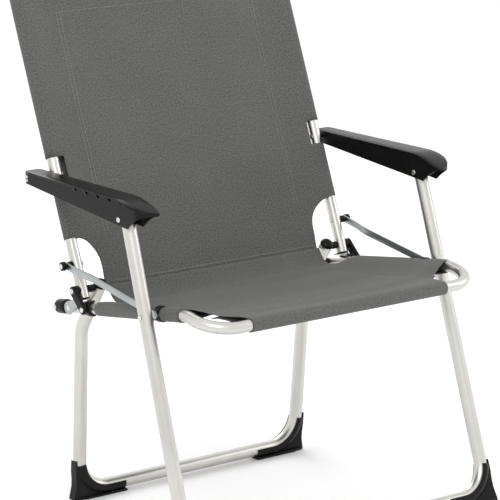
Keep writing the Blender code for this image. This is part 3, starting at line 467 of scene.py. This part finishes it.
def strut_pieces(hand):
    """Side strut: round tube pressed flat, with round eyes at both ends."""
    run = STRUT_HINGE - SEAT_PIVOT
    length = run.length
    run = run.normalized()
    across = Vector((-run.y, run.x))
    rows = []
    stations = 40
    middle_x = hand * (STRUT_IN + STRUT_OUT) / 2
    eye = 0.0065
    for index in range(stations + 1):
        share = index / stations
        along = -eye + share * (length + 2 * eye)
        nearest = min(along + eye, length + eye - along)
        width = 0.0060
        if nearest < eye:
            width = math.sqrt(max(eye ** 2 - (eye - nearest) ** 2, 1e-9))
        thick = 0.0012 + 0.0008 * min(1.0, max(0.0, (nearest - 0.014) / 0.02))
        row = []
        for step in range(24):
            angle = 2 * math.pi * step / 24
            flat = math.copysign(abs(math.cos(angle)) ** 0.5, math.cos(angle))
            deep = math.copysign(abs(math.sin(angle)) ** 0.8, math.sin(angle))
            place = SEAT_PIVOT + run * along + across * (width * flat)
            groove = 0.0005 * math.exp(-((flat - 0.25) / 0.16) ** 2) * min(1.0, nearest / 0.03)
            kick = hand * STRUT_KICK * smooth((along - length + 0.075) / 0.055)
            row.append(Vector((middle_x + kick + (thick - groove) * deep, place.x, place.y)))
        rows.append(row)
    made = loft(side("flat_strut", hand), rows, FLAT_METAL, angle=50)
    keep(made, "strut" + side("", hand), "flattened_aluminium", side("side_strut", hand))
    base = at(hand * (STRUT_OUT + STRUT_KICK + 0.0003), STRUT_HINGE)
    profile = [(-STRUT_KICK - 0.0043, 0.0026), (-STRUT_KICK - 0.0043, 0.0060),
               (-0.0046, 0.0060), (-0.0046, 0.0026)]
    spacer = turned("spacer", base, THROUGH * hand, profile, PLASTIC)
    profile = [(0.0, 0.0026), (0.0, 0.0068), (0.0008, 0.0074), (0.0026, 0.0074), (0.0031, 0.0066),
               (0.0037, 0.0066), (0.0042, 0.0072), (0.0064, 0.0072), (0.0074, 0.0060),
               (0.0074, 0.0026)]
    made = turned("stop", base, THROUGH * hand, profile, PLASTIC)
    made = join(side("strut_stop", hand), [made, spacer])
    keep(made, "back", "black_plastic", side("strut_knob", hand))
    rivet("strut_rivet", STRUT_HINGE, hand, STRUT_OUT + STRUT_KICK + 0.0077, HALF - TUBE, "back",
          "strut_bolt")


def cap_pieces(hand):
    rail_run = at(0.0, Vector((math.cos(SLOPE), -math.sin(SLOPE))))
    outer = TUBE + 0.0025
    profile = [(0.0, TUBE + 0.0004), (0.0, outer - 0.0004), (0.0006, outer), (0.0040, outer),
               (0.0044, outer - 0.0004), (0.0052, outer - 0.0004), (0.0056, outer)]
    for step in range(9):
        angle = math.pi / 2 * step / 8
        profile.append((0.0215 + 0.0085 * math.sin(angle), outer * math.cos(angle) ** 0.7))
    start = at(hand * HALF, rail(0.2630 + 0.0060))
    profile = [(distance - 0.0060, radius) for distance, radius in profile]
    made = turned(side("rail_end_cap", hand), start, rail_run, profile, PLASTIC)
    keep(made, "seat", "black_plastic", side("seat_rail_cap", hand))
    rivet("cap_rivet", rail(0.2930 - 0.0075), hand, HALF + outer, HALF + 0.006, "seat",
          "cap_screw", False)
    # ball on top of the rear leg
    run = at(0.0, UPPER_RUN)
    profile = [(-0.004, 0.0090), (0.0004, 0.0090), (0.0004, 0.0106), (0.0014, 0.0113)]
    for step in range(1, 11):
        angle = math.pi / 2 * step / 10
        profile.append((0.0010 + 0.0090 * math.sin(angle), 0.0114 * math.cos(angle)))
    made = turned(side("leg_ball_cap", hand), at(hand * REAR_TOP, REAR_TIP), run, profile,
                  PLASTIC)
    keep(made, "rear_legs", "black_plastic", side("rear_leg_cap", hand))
    # plug in the foot of the back tube
    down = at(0.0, back(0.0) - back(1.0))
    profile = [(-0.006, 0.0078), (0.0, 0.0078), (0.0, TUBE + 0.0002), (0.0016, TUBE + 0.0002),
               (0.0024, TUBE - 0.0010), (0.0027, 0.0060), (0.0027, 0.0001)]
    made = turned(side("back_foot_plug", hand), at(hand * HALF, back(BACK_FOOT)), down, profile,
                  PLASTIC)
    keep(made, "back", "black_plastic", side("back_tube_plug", hand))


for hand in (-1, 1):
    hinge_pieces(hand)
    strut_pieces(hand)
    cap_pieces(hand)


# ---- saddles ------------------------------------------------------------------------------
def saddle(name, centre, run, hand, layer, body, length=0.0145, reach=200.0):
    """A shell hugging the outside of a tube, with a flat seat for what turns against it."""
    inner, outer = TUBE + 0.0003, TUBE + 0.0034
    rows = []
    steps = 22
    for index in range(9):
        along = (index / 8 - 0.5) * length
        shrink = 0.0007 if index in (0, 8) else 0.0
        row = []
        for step in range(steps + 1):
            angle = math.radians(-reach / 2 + reach * step / steps)
            away = (outer - shrink) * math.cos(angle)
            height = (outer - shrink) * math.sin(angle)
            away = min(away, layer - 0.0003 - HALF)
            row.append((away, height))
        for step in range(steps, -1, -1):
            angle = math.radians(-reach / 2 + reach * step / steps)
            row.append((inner * math.cos(angle), inner * math.sin(angle)))
        across = Vector((-run.y, run.x))
        points = []
        for away, height in row:
            place = centre + run * along + across * height
            points.append(Vector((hand * (HALF + away), place.x, place.y)))
        rows.append(points)
    return loft(name, rows, PLASTIC, angle=35)


def saddles(hand):
    run = Vector((math.cos(SLOPE), -math.sin(SLOPE)))
    made = saddle(side("pivot_saddle", hand), SEAT_PIVOT, run, hand, STRUT_IN, "seat")
    keep(made, "seat", "black_plastic", side("seat_pivot_saddle", hand))
    made = saddle(side("stop_saddle", hand), LINK_FOOT, run, hand, LINK_IN, "seat")
    keep(made, "seat", "black_plastic", side("link_rest_saddle", hand))


for hand in (-1, 1):
    saddles(hand)


# ---- feet ---------------------------------------------------------------------------------
def foot(name, node, line, half_floor, foot_point, lean_run, hand, body):
    """A clip-on corner shoe: a shell round the bend, a web and a flat pointed base."""
    corner = at(hand * half_floor, foot_point)
    path = [Vector((hand * abs(place.x), place.y, place.z)) for place in line]
    path = path[:len(path) // 2]
    path.append(Vector((hand * (half_floor - 0.14), path[-1].y, path[-1].z)))
    dense = []
    for first, second in zip(path, path[1:]):
        pieces = max(1, int((second - first).length / 0.004))
        dense += [first.lerp(second, step / pieces) for step in range(pieces)]
    kept = [place for place in dense
            if (place - corner).dot(lean_run) < 0.050 and abs(place.x) > half_floor - SHOE_LENGTH]
    inward = -THROUGH * hand
    normal = inward.cross(lean_run).normalized()
    rows = []
    for index, place in enumerate(kept):
        tangent = (kept[min(index + 1, len(kept) - 1)] - kept[max(index - 1, 0)]).normalized()
        outward = tangent.cross(normal).normalized()
        if outward.dot(inward * 0.6 + lean_run) > 0:
            outward = -outward
        lip = 0.0006 if index in (0, len(kept) - 1) else 0.0
        row = []
        for radius, order in ((LEG + 0.0026 - lip, 1), (LEG + 0.0003, -1)):
            for step in range(25)[::order]:
                angle = math.radians(-112 + 224 * step / 24)
                row.append(place + (outward * math.cos(angle)
                                    + normal * math.sin(angle)) * radius)
        rows.append(row)
    shell = loft("shell", rows, PLASTIC, angle=38)
    # web between the bend and the pointed corner
    outline = [(SHOE_LENGTH - 0.002, -0.0115)]
    radius = LEG_CORNER
    for step in range(9):
        angle = math.pi / 2 * step / 8
        outline.append((radius - (radius + 0.0115) * math.sin(angle),
                        radius - (radius + 0.0115) * math.cos(angle)))
    outline += [(-0.0118, 0.0470), (-0.0120, 0.034), (-0.0108, 0.020), (-0.0108, 0.008),
                (-0.0125, -0.002), (-SHOE_CORNER - 0.0024, -0.0105),
                (-SHOE_CORNER - 0.0024, -0.020), (SHOE_LENGTH - 0.002, -0.020)]
    web_rows = []
    for offset in (-0.0080, 0.0080):
        web_rows.append([corner + inward * across + lean_run * height + normal * offset
                         for across, height in outline])
    web = loft("web", web_rows, PLASTIC, angle=30)
    bevelled(web, 0.0012, 2)
    base_rows = []
    for height, widen in ((0.0, 1.0), (0.0030, 1.0), (0.0042, 0.976)):
        row = []
        for across, depth in ((SHOE_LENGTH, -0.0130), (SHOE_LENGTH, 0.0130), (0.010, 0.0130),
                              (-0.0080, 0.0090), (-SHOE_CORNER, 0.0050),
                              (-SHOE_CORNER, -0.0050), (-0.0080, -0.0090), (0.010, -0.0130)):
            row.append(Vector((corner.x - hand * across, corner.y + depth * widen, height)))
        base_rows.append(row)
    base = loft("base", base_rows, PLASTIC, angle=30)
    bevelled(base, 0.0008, 2)
    made = join(side(name, hand), [shell, web, base])
    # trim what lies below the floor
    pick(made)
    bpy.ops.object.mode_set(mode='EDIT')
    bpy.ops.mesh.select_all(action='SELECT')
    bpy.ops.mesh.bisect(plane_co=(0, 0, 0.0001), plane_no=(0, 0, 1), use_fill=True,
                        clear_inner=True)
    bpy.ops.object.mode_set(mode='OBJECT')
    return keep(made, body, "black_plastic", side(node, hand))


for hand in (-1, 1):
    run = at(hand * (FRONT_TOP - FRONT_FLOOR), FRONT_END - FRONT_FOOT).normalized()
    foot("front_shoe", "front_foot", FRONT_LINE, FRONT_FLOOR, FRONT_FOOT, run, hand,
         "front_legs")
    run = at(hand * (rear_half(KNEE.y) - REAR_FLOOR), KNEE - REAR_FOOT).normalized()
    foot("rear_shoe", "rear_foot", REAR_LINE, REAR_FLOOR, REAR_FOOT, run, hand, "rear_legs")


# ---- armrests -----------------------------------------------------------------------------
def armrest(hand):
    """A moulded channel: crowned top with lips, recessed outer wall, droop at the front."""
    top = ARM_REAR.y + 0.0020 + 0.0065
    rear_y = ARM_REAR.x + 0.0200
    front_y = ARM_FRONT.x
    nose_y = front_y - 0.0640
    deepest, shallowest = 0.0445, 0.0042
    rows = []
    stations = 56
    for index in range(stations + 1):
        share = index / stations
        y = rear_y + (nose_y - rear_y) * share
        ahead = max(0.0, front_y + 0.004 - y)
        top_z = top - 0.0172 * (ahead / 0.068) ** 1.7
        # depth of the walls below the top
        if y > front_y - 0.022:
            depth = 0.0200 + (deepest - 0.0200) * (rear_y - y) / (rear_y - front_y + 0.022)
        else:
            fade = (front_y - 0.022 - y) / (front_y - 0.022 - nose_y)
            depth = deepest * (1 - fade) ** 1.1 + shallowest * fade
        depth -= top - top_z if y > front_y - 0.022 else (top - top_z) * (1 - min(1, ahead / .068))
        depth = max(depth, shallowest)
        grow = min(1.0, max(0.0, (rear_y - y) / (rear_y - front_y)))
        outer_lip = ARM_OUT + 0.0010 + 0.0068 * grow
        inner_lip = ARM_IN - 0.0045 * grow
        # round the plan at both ends
        end = min((rear_y - y) / 0.006, 1.0)
        tight = 1.0 - 0.12 * (1 - end) ** 2
        middle = (outer_lip + inner_lip) / 2
        half = (outer_lip - inner_lip) / 2 * tight
        outer_lip, inner_lip = middle + half, middle - half
        # the outer edge sweeps in to a nose on the inner side
        to_nose = min(1.0, (y - nose_y) / 0.042)
        sweep = math.sqrt(max(0.0, 1 - (1 - to_nose) ** 2))
        outer_lip = inner_lip + (outer_lip - inner_lip) * (0.20 + 0.80 * sweep)
        inner_lip += 0.0030 * (1 - min(1.0, (y - nose_y) / 0.006)) ** 2
        middle, half = (outer_lip + inner_lip) / 2, (outer_lip - inner_lip) / 2
        wall_out = min(ARM_OUT, outer_lip - 0.0003)
        wall_in = max(ARM_IN, inner_lip + 0.0003)
        inside_out, inside_in = wall_out - 0.0018, wall_in + 0.0018
        roof = top_z - 0.0030
        low = top_z - depth
        lip = 0.0026
        ring = [(wall_in, low), (wall_in, top_z - lip - 0.0010), (inner_lip + 0.0004, top_z - lip),
                (inner_lip, top_z - lip + 0.0008), (inner_lip, top_z - 0.0016),
                (inner_lip + 0.0006, top_z - 0.0006), (inner_lip + 0.0018, top_z),
                (middle - half * 0.4, top_z + 0.0002), (middle + half * 0.4, top_z + 0.0002),
                (outer_lip - 0.0018, top_z), (outer_lip - 0.0006, top_z - 0.0006),
                (outer_lip, top_z - 0.0016), (outer_lip, top_z - lip + 0.0008),
                (outer_lip - 0.0004, top_z - lip), (wall_out, top_z - lip - 0.0010),
                (wall_out, low), (inside_out, low), (inside_out, max(roof, low)),
                (inside_in, max(roof, low)), (inside_in, low)]
        rows.append([Vector((hand * x, y, z)) for x, z in ring])
    body = loft("channel", rows, PLASTIC, angle=32)
    pieces = [body]
    # gussets under the outer lip
    for step in range(5):
        y = front_y + 0.118 - step * 0.031
        grow = (rear_y - y) / (rear_y - front_y)
        lip = ARM_OUT + 0.0004 + 0.0066 * grow
        if y < front_y - 0.012:
            continue
        rows = []
        for offset in (-0.0020, 0.0020):
            rows.append([Vector((hand * (ARM_OUT - 0.0008), y + offset, top - 0.0036)),
                         Vector((hand * lip, y + offset, top - 0.0036)),
                         Vector((hand * (ARM_OUT - 0.0008), y + offset, top - 0.0110))])
        pieces.append(loft("gusset", rows, PLASTIC, angle=20))
    made = join(side("arm_rest", hand), pieces)
    keep(made, "armrest" + side("", hand), "black_plastic", side("armrest", hand))
    for step, height in enumerate((top - 0.0090, top - 0.0150)):
        dot = turned(side("arm_end_pin_%d" % (step + 1), hand),
                     at(hand * ARM_OUT, Vector((rear_y - 0.0060, height))), -THROUGH * hand,
                     rivet_profile(0.0015, 0.0024, 0.0010, 0.0012, False), STEEL, 20)
        keep(dot, "armrest" + side("", hand), "bright_steel")
    rivet("arm_front_rivet", ARM_FRONT, hand, ARM_OUT, ARM_IN, "armrest" + side("", hand),
          "armrest_front_rivet")
    rivet("arm_rear_rivet", ARM_REAR, hand, ARM_IN - 0.0020, HALF - TUBE, "back",
          "armrest_rear_rivet")


for hand in (-1, 1):
    armrest(hand)


# ---- cloth --------------------------------------------------------------------------------
def cloth_sheet(name, rows, place, keep_face, measure, wraps, around):
    """A sheet of cloth from a grid, with its sleeves.

    place(row, column, layer) gives points, measure(row, column) the flat cloth's own, and
    around(row, column, turn) both for the turns over the tubes along the edges in wraps.
    """
    points = []
    flat = []
    lookup = {}
    faces = []

    def vertex(key, position, uv):
        if key not in lookup:
            lookup[key] = len(points)
            points.append(position)
            flat.append(uv)
        return lookup[key]

    for i in range(len(rows) - 1):
        for j in range(len(COLUMNS) - 1):
            for layer in (0, 1):
                if not keep_face(i, j, layer):
                    continue
                corner = []
                for a, b in ((i, j), (i, j + 1), (i + 1, j + 1), (i + 1, j)):
                    corner.append(vertex((a, b, layer), place(a, b, layer), measure(a, b)))
                faces.append(tuple(corner if layer == 0 else reversed(corner)))
    for near, far in wraps:
        for step in range(TURN_STEPS):
            corner = []
            for (row, column), turn in ((near, step), (far, step), (far, step + 1),
                                        (near, step + 1)):
                key = (row, column, {0: 0, TURN_STEPS: 1}.get(turn, ("wrap", turn)))
                corner.append(vertex(key, *around(row, column, turn / TURN_STEPS)))
            faces.append(tuple(corner))
    made = shape(name, points, faces, SLING, 180.0)
    layer = made.data.uv_layers.new(name="flat")
    for loop in made.data.loops:
        layer.data[loop.index].uv = flat[loop.vertex_index]
    apply(made, 'SOLIDIFY', thickness=CLOTH, offset=1.0, use_rim=True)
    return made


HEM = 0.068                       # depth of the back's hems, from the tube to the thread
SLEEVE_LOW = 0.113                # the back's side sleeves start here, up the back
NOTCH_LOW, NOTCH_HIGH = 0.206, 0.246        # cut-out in them for the armrest's pivot
SEAM = 0.0297                     # where the two cloths are sewn together, up the back
SEAT_HEM = 0.058                  # depth of the seat's front hem
SLEEVE_END = 0.1720               # behind the seat pivot, where the side sleeves stop
FREE_HALF = 0.2165                # half the cloth's width where it leaves the tubes
STITCH_LINES = (0.190, 0.1965)    # the two rows of thread along a sleeve, from the middle
ACROSS = [0.0, 0.03, 0.06, 0.09, 0.12, 0.145, 0.165, 0.18, *STITCH_LINES, 0.205, 0.215, 0.225,
          0.233, 0.240, 0.247, 0.254, 0.260, HALF]
COLUMNS = [-x / HALF for x in reversed(ACROSS[1:])] + [x / HALF for x in ACROSS]
MIDDLE = len(ACROSS) - 1
STITCHED = [ACROSS.index(x) for x in STITCH_LINES]
TURN_STEPS = 10                   # faces round a tube


def back_half(height):
    """Half the width of the back cloth at a height up the back."""
    if height > TOP - CORNER:
        rise = min(CORNER, height - (TOP - CORNER))
        return HALF - CORNER + math.sqrt(max(0.0, CORNER ** 2 - rise ** 2))
    if height >= SLEEVE_LOW:
        return HALF
    if height > 0.065:
        share = (height - 0.065) / (SLEEVE_LOW - 0.065)
        return FREE_HALF + (HALF - FREE_HALF) * (1 - math.sqrt(max(0.0, 1 - share ** 2)))
    return FREE_HALF


def back_cloth():
    rows = [SEAM, 0.036, 0.044, 0.054, 0.062, 0.069, 0.077, 0.085, 0.092, 0.099, 0.105, 0.109,
            0.1117, SLEEVE_LOW]
    height = SLEEVE_LOW + 0.010
    while height < 0.204:
        rows.append(height)
        height += 0.0128
    rows += [NOTCH_LOW, 0.212, 0.219, 0.226, 0.233, 0.240, NOTCH_HIGH]
    height = 0.258
    while height < TOP - HEM - 0.006:
        rows.append(height)
        height += 0.0128
    rows.append(TOP - HEM)
    for step in range(1, 17):
        rows.append(TOP - CORNER * (1 - math.sin(math.pi / 2 * step / 16)))
    notch = (rows.index(NOTCH_LOW), rows.index(NOTCH_HIGH))
    sleeve_row = rows.index(SLEEVE_LOW)
    hem_row = rows.index(TOP - HEM)

    def spot(i, j):
        height = rows[i]
        return COLUMNS[j] * back_half(height), height

    def place(i, j, layer):
        x, height = spot(i, j)
        edge = HALF - abs(x)
        if height > TOP - CORNER and abs(x) > HALF - CORNER:
            edge = CORNER - math.hypot(abs(x) - HALF + CORNER, height - TOP + CORNER)
        edge = min(edge, TOP - height)
        lift = WRAP * (1 - smooth(edge / HEM) ** 0.8) if edge < HEM else 0.0
        if height < SLEEVE_LOW:
            lift *= smooth((height - 0.085) / (SLEEVE_LOW - 0.085))
        sag = 0.0065 * (1 - (x / HALF) ** 2) * smooth((TOP - height) / 0.25)
        sag += 0.0020 * math.exp(-((abs(x) - 0.12) / 0.05) ** 2) * math.sin(height * 22.0)
        behind = sag - lift if layer == 0 else sag + lift + 0.0004
        if height < 0.060:
            behind += 0.003 * smooth((0.060 - height) / 0.03)
        return at(x, back(height, behind))

    def keep_face(i, j, layer):
        side_column = min(abs(j - MIDDLE), abs(j + 1 - MIDDLE))
        if notch[0] <= i < notch[1] and side_column >= ACROSS.index(0.247):
            return False
        if layer == 1:
            if i < sleeve_row:
                return False
            return i >= hem_row or side_column >= STITCHED[-1]
        return True

    def around(i, j, turn):
        x, height = spot(i, j)
        outward = Vector((math.copysign(1.0, x), 0.0))
        if height > TOP - CORNER:
            outward = Vector((x - math.copysign(HALF - CORNER, x), height - TOP + CORNER))
            if abs(x) < HALF - CORNER:
                outward = Vector((0.0, 1.0))
            outward = outward.normalized()
        angle = math.pi * turn
        low, high = place(i, j, 0), place(i, j, 1)
        centre = (low + high) / 2
        reach = (high - low).length / 2
        normal = at(0.0, back(0.0, 1.0) - back(0.0))
        up = at(0.0, back(1.0) - back(0.0))
        direction = THROUGH * outward.x + up * outward.y
        position = centre - normal * (reach * math.cos(angle)) + direction * (
            WRAP * math.sin(angle))
        return position, (x + outward.x * WRAP * angle, height + outward.y * WRAP * angle)

    last = len(COLUMNS) - 1
    sides = []
    for j, flip in ((0, False), (last, True)):
        for i in range(sleeve_row, len(rows) - 1):
            if notch[0] <= i < notch[1]:
                continue
            sides.append(((i, j), (i + 1, j)) if flip else ((i + 1, j), (i, j)))
    over = [((len(rows) - 1, j + 1), (len(rows) - 1, j)) for j in range(last)]
    made = cloth_sheet("back_sling", rows, place, keep_face, spot, sides + over, around)
    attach(made, "back")
    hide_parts("back_fabric")
    return place, rows


back_place, back_rows = back_cloth()


def seat_profile():
    """Side points of the seat cloth from the front rail back to the seam."""
    front = [NOSE + (BEND - NOSE) * share for share in (0.0, 0.12, 0.24, 0.36, 0.48, 0.60, 0.72)]
    bend = rounded([at(0, NOSE), at(0, BEND), at(0, rail(0.1))], (0.09,), 5)[1:-1]
    front = [p for p in front if (p - NOSE).length < (Vector(bend[0].yz) - NOSE).length - 0.003]
    sides = [Vector(place.yz) for place in bend]
    start = sides[-1]
    first = (start - SEAT_PIVOT).length * (-1 if start.x < SEAT_PIVOT.x else 1)
    count = 26
    sides += [rail(first + (SLEEVE_END - first) * step / count) for step in range(1, count + 1)]
    rise = [rail(0.1790), rail(0.1860, 0.0004), rail(0.1935, 0.0018), rail(0.2005, 0.0050),
            rail(0.2065, 0.0105), rail(0.2110, 0.0170), rail(0.2143, 0.0235), back(SEAM, -0.0010)]
    return front + sides + rise


def seat_cloth():
    profile = seat_profile()
    lengths = [0.0]
    for first, second in zip(profile, profile[1:]):
        lengths.append(lengths[-1] + (second - first).length)
    sleeve_front = min(range(len(profile)), key=lambda k: (profile[k] - rail(-0.056)).length)
    sleeve_rear = min(range(len(profile)), key=lambda k: (profile[k] - rail(SLEEVE_END)).length)
    hem_row = min(range(len(profile)), key=lambda k: abs(lengths[k] - SEAT_HEM))
    front_half_width = 0.194

    def half(i):
        if i <= sleeve_front:
            share = lengths[i] / lengths[sleeve_front]
            return front_half_width + (HALF - front_half_width) * (
                1 - math.sqrt(max(0.0, 1 - smooth(share) ** 2)))
        if i <= sleeve_rear:
            return HALF
        share = (lengths[i] - lengths[sleeve_rear]) / (lengths[-1] - lengths[sleeve_rear])
        return FREE_HALF + (HALF - FREE_HALF) * (1 - smooth(share * 2.6))

    def normal_at(i):
        run = profile[min(i + 1, len(profile) - 1)] - profile[max(i - 1, 0)]
        run = run.normalized()
        return Vector((-run.y, run.x))

    def spot(i, j):
        return COLUMNS[j] * half(i), lengths[i]

    def place(i, j, layer):
        x, length = spot(i, j)
        side_edge = HALF - abs(x)
        lift = 0.0
        if sleeve_front <= i <= sleeve_rear:
            lift = WRAP * (1 - smooth(side_edge / HEM))
        elif i < sleeve_front:
            lift = WRAP * (1 - smooth(side_edge / HEM)) * smooth(length / lengths[sleeve_front])
            lift = max(lift, WRAP * (1 - smooth(length / 0.060)))
        total = lengths[sleeve_rear]
        along = min(1.0, length / total)
        sag = 0.0150 * (1 - (x / HALF) ** 2) * math.sin(math.pi * along ** 0.8) if along < 1 else 0
        sag = max(0.0, sag)
        wave = 0.0012 * math.sin(length * 60.0 + x * 9.0) * (1 - (x / HALF) ** 2) * along
        height = lift - sag + wave if layer == 0 else -lift - sag - 0.0004
        return at(x, profile[i] + normal_at(i) * height)

    def keep_face(i, j, layer):
        side_column = min(abs(j - MIDDLE), abs(j + 1 - MIDDLE))
        if layer == 1:
            if i < hem_row and i < sleeve_front:
                return True
            return sleeve_front <= i < sleeve_rear and side_column >= STITCHED[-1]
        return True

    def around(i, j, turn):
        x, length = spot(i, j)
        angle = math.pi * turn
        low, high = place(i, j, 0), place(i, j, 1)
        centre = (low + high) / 2
        reach = (high - low).length / 2
        normal = at(0.0, normal_at(i))
        if i == 0:
            direction = at(0.0, (profile[0] - profile[1]).normalized())
            flat = (x, -WRAP * angle)
        else:
            direction = THROUGH * math.copysign(1.0, x)
            flat = (x + math.copysign(WRAP * angle, x), length)
        position = centre + normal * (reach * math.cos(angle)) + direction * (
            WRAP * math.sin(angle))
        return position, flat

    last = len(COLUMNS) - 1
    sides = []
    for j, flip in ((0, True), (last, False)):
        for i in range(sleeve_front, sleeve_rear):
            sides.append(((i, j), (i + 1, j)) if flip else ((i + 1, j), (i, j)))
    over = [((0, j + 1), (0, j)) for j in range(last)]
    made = cloth_sheet("seat_sling", profile, place, keep_face, spot, sides + over, around)
    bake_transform(made)
    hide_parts("seat_fabric")
    return place, sleeve_front, sleeve_rear, hem_row


seat_place, seat_first, seat_last, seat_hem = seat_cloth()


# ---- stitching ----------------------------------------------------------------------------
ABOVE = CLOTH + 0.0002            # thread above the middle of the cloth's grid
STITCH, STITCH_GAP = 0.0032, 0.0012


def stitches(name, runs, body):
    """Small thread stitches laid along runs of (point, normal)."""
    points = []
    faces = []
    for run in runs:
        travelled = 0.0
        wanted = 0.0
        for (first, normal), (second, _) in zip(run, run[1:]):
            step = second - first
            size = step.length
            if size < 1e-6:
                continue
            heading = step / size
            beside = heading.cross(normal).normalized()
            while wanted < travelled + size:
                centre = first + heading * (wanted - travelled) + normal * 0.0002
                base = len(points)
                for along, width in ((-0.5, 0.3), (-0.2, 1.0), (0.2, 1.0), (0.5, 0.3)):
                    for turn in range(6):
                        angle = math.pi * 2 * turn / 6
                        points.append(centre + heading * (STITCH * along)
                                      + beside * (0.00040 * width * math.cos(angle))
                                      + normal * (0.00030 * width * math.sin(angle)))
                for ring in range(3):
                    for turn in range(6):
                        after = (turn + 1) % 6
                        faces.append((base + ring * 6 + turn, base + ring * 6 + after,
                                      base + ring * 6 + 6 + after, base + ring * 6 + 6 + turn))
                faces.append(tuple(base + turn for turn in range(6)))
                faces.append(tuple(base + 18 + turn for turn in range(6)))
                wanted += STITCH + STITCH_GAP
            travelled += size
    made = shape(name, points, faces, THREAD, 60.0)
    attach(made, body)


def back_stitching():
    front = -at(0.0, back(0.0, 1.0) - back(0.0)).normalized()
    first = back_rows.index(SLEEVE_LOW)
    hem = back_rows.index(TOP - HEM)

    def runs_along(cells):
        """A run of thread on the front and one on the rear of the cloth."""
        return [[(back_place(i, j, layer) + front * lift, front * (1 if lift > 0 else -1))
                 for i, j in cells] for layer, lift in ((0, ABOVE), (1, -ABOVE))]

    runs = []
    for hand in (-1, 1):
        for column in STITCHED:
            runs += runs_along([(i, MIDDLE + hand * column) for i in range(first, hem + 1)])
    for i in (hem, hem + 1):
        runs += runs_along([(i, j) for j in range(MIDDLE - STITCHED[-1],
                                                  MIDDLE + STITCHED[-1] + 1)])
    runs.append([(back_place(1, j, 0) + front * ABOVE, front) for j in range(len(COLUMNS))])
    stitches("back_stitching", runs, "back")


def seat_stitching():
    up = Vector((0, math.sin(SLOPE), math.cos(SLOPE)))
    cells = [[(i, MIDDLE + hand * column) for i in range(seat_first, seat_last + 1)]
             for hand in (-1, 1) for column in STITCHED]
    cells += [[(i, j) for j in range(MIDDLE - STITCHED[-1], MIDDLE + STITCHED[-1] + 1)]
              for i in (seat_hem, seat_hem - 1)]
    stitches("seat_stitching", [[(seat_place(i, j, 0) + up * ABOVE, up) for i, j in run]
                                for run in cells], "seat")


back_stitching()
seat_stitching()

# ---- finishes of the pieces that keep their built shape ---------------------------------------
for node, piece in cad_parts.items():
    if "spacer" in node or "saddle" in node or "washer" in node or "plug" in node:
        piece.data.materials.clear()
        piece.data.materials.append(PLASTIC)


# ---- studio -------------------------------------------------------------------------------
def studio():
    bpy.ops.object.select_all(action='DESELECT')
    bpy.ops.mesh.primitive_plane_add(size=24, location=(0, 0, -0.0002))
    floor = bpy.context.view_layer.objects.active
    floor.name = "studio_floor"
    made, nodes, links, shader = finish_base("pale_floor", (0.95, 0.95, 0.95), 0.8)
    floor.data.materials.append(made)
    bpy.context.scene.view_settings.view_transform = 'Standard'
    world = bpy.data.worlds.new("studio_air")
    bpy.context.scene.world = world
    world.use_nodes = True
    world.node_tree.nodes["Background"].inputs["Color"].default_value = (1, 1, 1, 1)
    world.node_tree.nodes["Background"].inputs["Strength"].default_value = 1.05
    for name, place, size, power, aim in (
            ("key", (-2.2, -2.4, 3.0), 1.8, 36, (0, 0, 0.4)),
            ("fill", (2.8, -1.4, 1.8), 1.6, 16, (0, 0, 0.4)),
            ("back", (0.6, 2.8, 2.6), 1.8, 30, (0, 0, 0.5))):
        light = bpy.data.lights.new(name + "_softbox", 'AREA')
        light.shape = 'SQUARE'
        light.size = size
        light.energy = power
        lamp = bpy.data.objects.new(name + "_softbox", light)
        bpy.context.scene.collection.objects.link(lamp)
        lamp.location = place
        lamp.rotation_euler = (Vector(aim) - Vector(place)).to_track_quat('-Z', 'Y').to_euler()
    camera = bpy.data.cameras.new("camera")
    camera.lens = 203.0
    camera.sensor_width = 36
    camera.shift_x = -0.0298
    camera.shift_y = 0.0352
    view = bpy.data.objects.new("camera", camera)
    bpy.context.scene.collection.objects.link(view)
    turn, lift, distance = math.radians(-37.48), math.radians(13.56), 4.538
    target = Vector((0, -0.054586, 0.4))
    view.location = target + distance * Vector((math.sin(turn) * math.cos(lift),
                                                -math.cos(turn) * math.cos(lift),
                                                math.sin(lift)))
    view.rotation_euler = (target - view.location).to_track_quat('-Z', 'Y').to_euler()
    bpy.context.scene.camera = view


studio()
